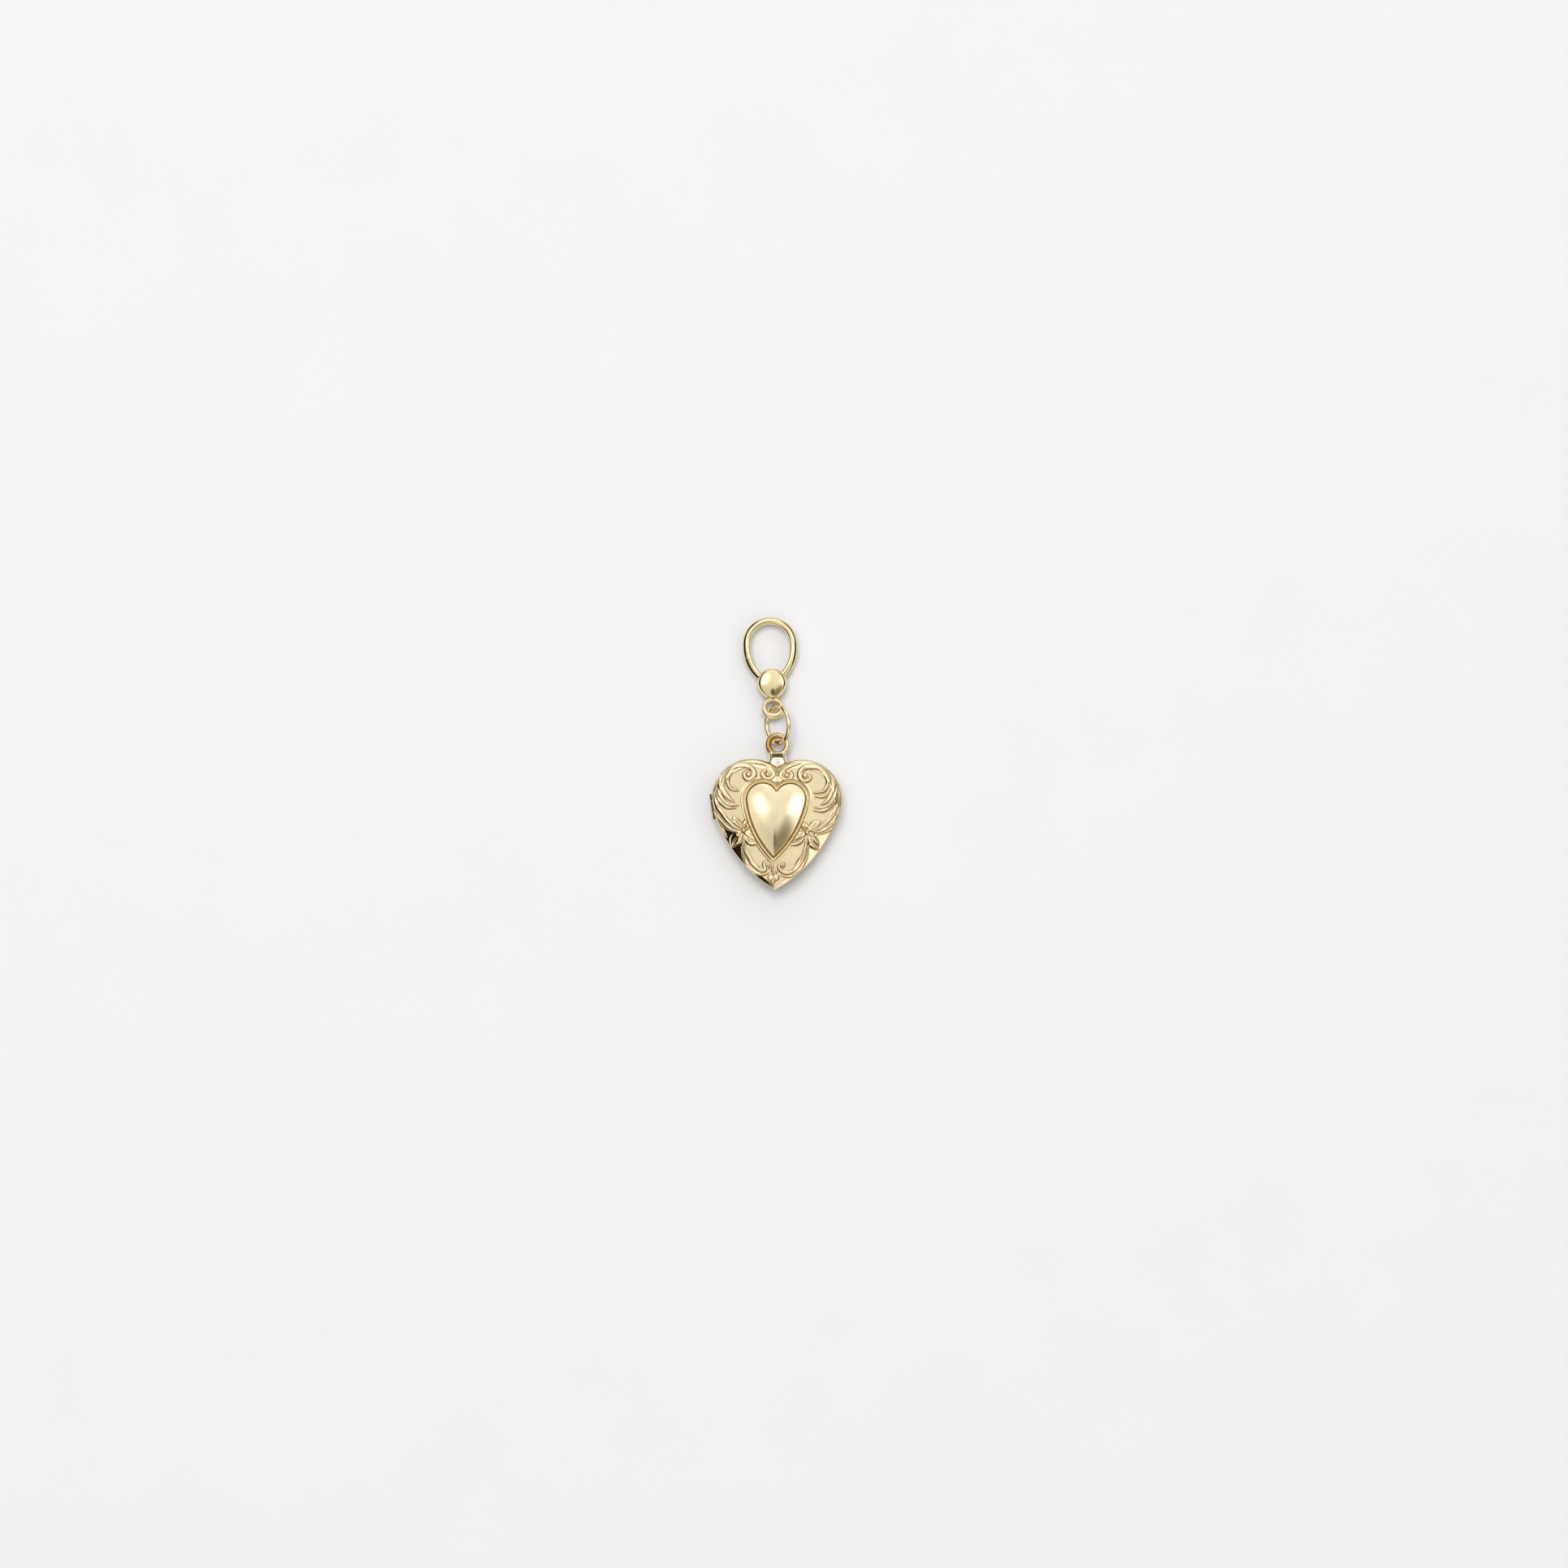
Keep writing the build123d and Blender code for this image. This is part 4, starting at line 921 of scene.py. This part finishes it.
# %% Clasp eye
EYE_OUTER, EYE_INNER = (1.7, 1.75, -3.8), (1.04, 0.82, -3.65)  # half width, half height, place
EYE_THICK = 0.4  # half its thickness
turn = np.linspace(0, 2 * pi, 160, endpoint=False)
outer, inner = (np.stack([half_wide * np.cos(turn), place + half_high * np.sin(turn)], -1)
                for half_wide, half_high, place in (EYE_OUTER, EYE_INNER))
path = level((outer + inner) / 2) + [0, 0, EYE_THICK]
eye = bar(path, np.linalg.norm(outer - inner, axis=1) / 2, EYE_THICK, True, superellipse(36, 2.2))
put_mesh("clasp_eye", in_row(eye, CLASP), "base", nodes=("clasp_frame",), closed_rows=True)

# %% [markdown]
# The finish. Two node groups are shared by every gold here. The first makes what polishing and
# carrying leave: cloudy differences in polish and fine hair scratches. The second mixes the
# metal's colour, a darker colour for painted shade, and the roughness. The darker colour is
# painted where a piece carries its painted_shade mark. The groups put out only colours and
# values. The metal itself is the Principled shader of each material, with its metallic value set
# on its own socket.

# %% Node groups
def group(name, inputs, outputs):
    """An empty shader node group with named sockets; returns it with its two end nodes."""
    tree = bpy.data.node_groups.new(name, "ShaderNodeTree")
    for label, kind, value in inputs:
        socket = tree.interface.new_socket(label, in_out="INPUT", socket_type=kind)
        socket.default_value = value
    for label, kind in outputs:
        tree.interface.new_socket(label, in_out="OUTPUT", socket_type=kind)
    return tree, tree.nodes.new("NodeGroupInput"), tree.nodes.new("NodeGroupOutput")


def node(tree, kind, values=(), **settings):
    """A node with its properties, and values for its inputs by name."""
    made = tree.nodes.new(kind)
    for key, value in dict(values).items():
        made.inputs[key].default_value = value
    for key, value in settings.items():
        setattr(made, key, value)
    return made


def noise(tree, vector, scale, detail):
    """A noise texture read at a vector."""
    made = node(tree, "ShaderNodeTexNoise", values={"Scale": scale, "Detail": detail})
    tree.links.new(vector, made.inputs["Vector"])
    return made.outputs["Fac"]


def spread(tree, value, low, high, out_low=0.0, out_high=1.0):
    """A value mapped from one range to another, held at both ends."""
    made = node(tree, "ShaderNodeMapRange", values={"From Min": low, "From Max": high,
                                                    "To Min": out_low, "To Max": out_high})
    tree.links.new(value, made.inputs["Value"])
    return made.outputs["Result"]


def math(tree, operation, first, second):
    """Two values, or a value and a number, joined by an operation such as a sum or a power."""
    made = node(tree, "ShaderNodeMath", operation=operation)
    for socket, value in zip(made.inputs, (first, second)):
        if isinstance(value, (int, float)):
            socket.default_value = value
        else:
            tree.links.new(value, socket)
    return made.outputs["Value"]


wear, wear_in, wear_out = group(
    "carried_polish",
    [("Vector", "NodeSocketVector", (0, 0, 0)), ("Hair Scratches", "NodeSocketFloat", 0.3)],
    [("Cloud", "NodeSocketFloat"), ("Scratch", "NodeSocketFloat"), ("Height", "NodeSocketFloat")])
cloud = noise(wear, wear_in.outputs["Vector"], 420, 3)
lines = []
for angle, scale in ((0.6, 2400), (-0.9, 3100)):
    turned = node(wear, "ShaderNodeMapping", values={"Rotation": (0, 0, angle), "Scale": (1, 0.04, 1)})
    wear.links.new(wear_in.outputs["Vector"], turned.inputs["Vector"])
    lines.append(spread(wear, noise(wear, turned.outputs["Vector"], scale, 2), 0.66, 0.74))
scratch = math(wear, "MULTIPLY", math(wear, "MAXIMUM", *lines), wear_in.outputs["Hair Scratches"])
swell = noise(wear, wear_in.outputs["Vector"], 180, 2)
height = math(wear, "SUBTRACT", math(wear, "MULTIPLY", swell, 0.6),
              math(wear, "MULTIPLY", scratch, 0.08))
for label, value in (("Cloud", cloud), ("Scratch", scratch), ("Height", height)):
    wear.links.new(value, wear_out.inputs[label])

tint, tint_in, tint_out = group(
    "gold_with_painted_shade",
    [("Gold", "NodeSocketColor", (1, 1, 1, 1)), ("Shade Gold", "NodeSocketColor", (1, 1, 1, 1)),
     ("Painted Shade", "NodeSocketFloat", 0.0), ("Cloud", "NodeSocketFloat", 0.5),
     ("Scratch", "NodeSocketFloat", 0.0), ("Polish", "NodeSocketFloat", 0.1)],
    [("Color", "NodeSocketColor"), ("Roughness", "NodeSocketFloat")])
# Painted shade: the mark, with a little of the polish's cloud, turns the gold to the darker colour
breathe = spread(tint, tint_in.outputs["Cloud"], 0.3, 0.7, 0.0, 0.12)
deep = math(tint, "ADD", tint_in.outputs["Painted Shade"], breathe)
mixed = node(tint, "ShaderNodeMix", data_type="RGBA")
tint.links.new(deep, mixed.inputs["Factor"])
tint.links.new(tint_in.outputs["Gold"], mixed.inputs[6])
tint.links.new(tint_in.outputs["Shade Gold"], mixed.inputs[7])
rough = math(tint, "ADD", tint_in.outputs["Polish"],
             spread(tint, tint_in.outputs["Cloud"], 0.35, 0.7, 0, 0.05))
for label in ("Scratch", "Painted Shade"):
    rough = math(tint, "ADD", rough, math(tint, "MULTIPLY", tint_in.outputs[label], 0.12))
tint.links.new(mixed.outputs[2], tint_out.inputs["Color"])
tint.links.new(rough, tint_out.inputs["Roughness"])
print("Node groups:", wear.name, tint.name)


# %% [markdown]
# Six golds, each with its colour, the darker colour of its painted shade, the roughness that its
# polish leaves, and how scratched and how wavy it is. The waves are a share of a millimetre high.

# %% Gold finishes
def gold(name, colour, shade_colour, polish, scratches, waves):
    """A polished gold: metal of one colour, darkened with painted shade where the piece is marked."""
    material = bpy.data.materials.new(name)
    material.use_nodes = True
    tree = material.node_tree
    metal = tree.nodes["Principled BSDF"]
    metal.inputs["Metallic"].default_value = 1.0
    place = node(tree, "ShaderNodeTexCoord")
    worn = node(tree, "ShaderNodeGroup", node_tree=wear)
    worn.inputs["Hair Scratches"].default_value = scratches
    tree.links.new(place.outputs["Object"], worn.inputs["Vector"])
    tinted = node(tree, "ShaderNodeGroup", node_tree=tint)
    tinted.inputs["Gold"].default_value = (*colour, 1)
    tinted.inputs["Shade Gold"].default_value = (*shade_colour, 1)
    tinted.inputs["Polish"].default_value = polish
    mark = node(tree, "ShaderNodeAttribute", attribute_name="painted_shade")
    tree.links.new(mark.outputs["Fac"], tinted.inputs["Painted Shade"])
    for label in ("Cloud", "Scratch"):
        tree.links.new(worn.outputs[label], tinted.inputs[label])
    bump = node(tree, "ShaderNodeBump", values={"Strength": 0.3, "Distance": waves * MM})
    tree.links.new(worn.outputs["Height"], bump.inputs["Height"])
    tree.links.new(tinted.outputs["Color"], metal.inputs["Base Color"])
    tree.links.new(tinted.outputs["Roughness"], metal.inputs["Roughness"])
    tree.links.new(bump.outputs["Normal"], metal.inputs["Normal"])
    return material


pale_gold = gold("pale_gold", (0.94, 0.80, 0.50), (0.42, 0.23, 0.04), 0.08, 0.3, 0.04)
raised_gold = gold("raised_gold", (0.93, 0.79, 0.50), (0.60, 0.40, 0.12), 0.15, 0.2, 0.03)
rose_gold = gold("rose_gold", (0.94, 0.76, 0.43), (0.42, 0.19, 0.02), 0.1, 0.35, 0.03)
# The hinge's colour is painted shade: dark brown in place of the gold, where the knuckles sit at the edge
hinge_gold_painted_dark = gold("hinge_gold_painted_dark", (0.34, 0.24, 0.10), (0.15, 0.10, 0.04), 0.2, 0.35, 0.03)
# The neck's darker colour is near black: the painted shadow under the bail ring
neck_gold = gold("neck_gold", (0.93, 0.80, 0.56), (0.10, 0.075, 0.03), 0.12, 0.35, 0.03)
clasp_gold = gold("clasp_gold", (0.94, 0.80, 0.47), (0.45, 0.28, 0.08), 0.1, 0.35, 0.03)
FINISH = {"cover_border": pale_gold, "raised_heart": raised_gold, "back_shell": pale_gold,
          "neck": neck_gold, "bail_ring": rose_gold, "clasp_hook": clasp_gold,
          "clasp_button": clasp_gold, "clasp_eye": clasp_gold, "gate_lever": clasp_gold,
          **{f"hinge_knuckle_{end}": hinge_gold_painted_dark for end in ("cover", "low", "high")}}
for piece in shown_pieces():
    piece.data.materials.clear()
    piece.data.materials.append(FINISH.get(piece.name, pale_gold))

# %% [markdown]
# The studio. A pale floor, and a sky that stands for a white tent: bright overhead, with two
# brighter places to the left and right where lamps light the cloth, and dark along the horizon,
# where a tent stops. The dark band is what draws the lines round the relief. A few dark places
# stand for the gaps between the cloths, and give the raised heart, the bevel and the button their
# dark spots. One broad lamp, high and a little toward the top of the picture, makes the soft
# shadow below the charm.

# %% Floor
FLOOR_HALF = 1.5
FLOOR_Z = -0.01 * MM  # just under the charm
mesh = bpy.data.meshes.new("floor")
corners = [(x * FLOOR_HALF, y * FLOOR_HALF, FLOOR_Z) for x, y in ((-1, -1), (1, -1), (1, 1), (-1, 1))]
mesh.from_pydata(corners, [], [(0, 1, 2, 3)])
floor = bpy.data.objects.new("floor", mesh)
bpy.context.scene.collection.objects.link(floor)
paper = bpy.data.materials.new("pale_paper")
paper.use_nodes = True
tree = paper.node_tree
sheet = tree.nodes["Principled BSDF"]
sheet.inputs["Specular IOR Level"].default_value = 0.2
sheet.inputs["Roughness"].default_value = 0.8
place = node(tree, "ShaderNodeTexCoord")
fibre = noise(tree, place.outputs["Object"], 60, 3)
shade = node(tree, "ShaderNodeMix", data_type="RGBA")
shade.inputs[6].default_value = (0.572, 0.566, 0.56, 1)
shade.inputs[7].default_value = (0.584, 0.578, 0.572, 1)
tree.links.new(fibre, shade.inputs["Factor"])
tree.links.new(shade.outputs[2], sheet.inputs["Base Color"])
floor.data.materials.append(paper)
print("Floor half width in metres:", FLOOR_HALF)

# %% Sky
world = bpy.data.worlds.new("studio")
bpy.context.scene.world = world
world.use_nodes = True
tree = world.node_tree
sky = tree.nodes["Background"]
way = node(tree, "ShaderNodeTexCoord")
parts = node(tree, "ShaderNodeSeparateXYZ")
tree.links.new(way.outputs["Generated"], parts.inputs["Vector"])
ramp = node(tree, "ShaderNodeValToRGB")
# The tent's light at heights from the horizon, 0, to overhead, 1 (the sine of the height)
STOPS = [(0.0, 0.06), (0.02, 0.015), (0.26, 0.02), (0.4, 0.45), (0.54, 0.98), (0.8, 1.1),
         (0.93, 0.96), (1.0, 0.93)]
for position, _ in STOPS[1:-1]:
    ramp.color_ramp.elements.new(position)
for element, (_, value) in zip(ramp.color_ramp.elements, STOPS):
    element.color = (value, value, value, 1)
tree.links.new(parts.outputs["Z"], ramp.inputs["Fac"])
# Bright and dark places of the tent: direction, how far it reaches (cosines), and its strength
PLACES = [((-0.31, 0.2, 0.93), 0.955, 0.995, 0.9), ((0.48, 0.15, 0.86), 0.956, 0.993, 0.82),
          ((-0.7, -0.52, 0.49), 0.93, 0.965, -1.0), ((0.72, -0.5, 0.48), 0.93, 0.98, 0.2),
          ((0.29, -0.3, 0.91), 0.951, 0.984, -0.83), ((0.02, -0.15, 0.989), 0.998, 0.9991, -1.0),
          ((0.02, -0.235, 0.972), 0.9956, 0.9974, -1.4),
          ((0.9, -0.1, 0.38), 0.955, 0.985, -0.55), ((-0.9, 0.0, 0.38), 0.93, 0.98, -0.9),
          ((-0.28, -0.28, 0.92), 0.95, 0.99, -0.15), ((1.0, 0.2, 0.0), -0.1, 0.1, 0.14),
          ((0.0, 0.97, 0.25), 0.8, 0.93, 0.7)]
DARKEST = 0.015
light = ramp.outputs["Color"]
for direction, far, near, strength in PLACES:
    dot = node(tree, "ShaderNodeVectorMath", operation="DOT_PRODUCT")
    dot.inputs[1].default_value = Vector(direction).normalized()
    tree.links.new(way.outputs["Generated"], dot.inputs[0])
    light = math(tree, "ADD", light, spread(tree, dot.outputs["Value"], far, near, 0, strength))
light = math(tree, "MAXIMUM", light, DARKEST)
# The darker the place, the warmer it is: beyond the tent's white cloth stands a brown room
warm = node(tree, "ShaderNodeCombineColor")
for channel, power in (("Red", 1.0), ("Green", 1.1), ("Blue", 1.35)):
    tree.links.new(math(tree, "POWER", light, power), warm.inputs[channel])
tree.links.new(warm.outputs["Color"], sky.inputs["Color"])
sky.inputs["Strength"].default_value = 0.9
print("Sky:", len(STOPS), "heights and", len(PLACES), "places")

# %% Lamp
lamp = bpy.data.lights.new("broad_lamp", "AREA")
lamp.shape = "DISK"
lamp.size = 0.9  # metres across
lamp.energy = 25.2  # watts
lamp_object = bpy.data.objects.new("broad_lamp", lamp)
lamp_object.location = (-0.12, 0.45, 1.71)
lamp_object.visible_glossy = False  # the metal mirrors the sky's places instead
lamp_object.rotation_mode = "QUATERNION"
lamp_object.rotation_quaternion = (-lamp_object.location).to_track_quat("-Z", "Y")
bpy.context.scene.collection.objects.link(lamp_object)
print("Lamp", round(lamp_object.location.length, 2), "m away")

# %% [markdown]
# The camera looks straight down, as in the photograph. The picture takes in 243 millimetres, and
# the charm is a small thing a little above its middle.

# %% Camera and view
PICTURE = 243.0 * MM
PICTURE_MIDDLE = (1.195, -4.84)
camera = bpy.data.cameras.new("camera")
camera.lens, camera.sensor_width = 100, 36
camera.clip_start, camera.clip_end = 0.05, 5
camera_object = bpy.data.objects.new("camera", camera)
camera_height = PICTURE * camera.lens / camera.sensor_width
camera_object.location = (PICTURE_MIDDLE[0] * MM, PICTURE_MIDDLE[1] * MM, camera_height)
bpy.context.scene.collection.objects.link(camera_object)
bpy.context.scene.camera = camera_object
bpy.context.scene.view_settings.view_transform = "Standard"
print("Camera height in metres:", round(camera_height, 3))
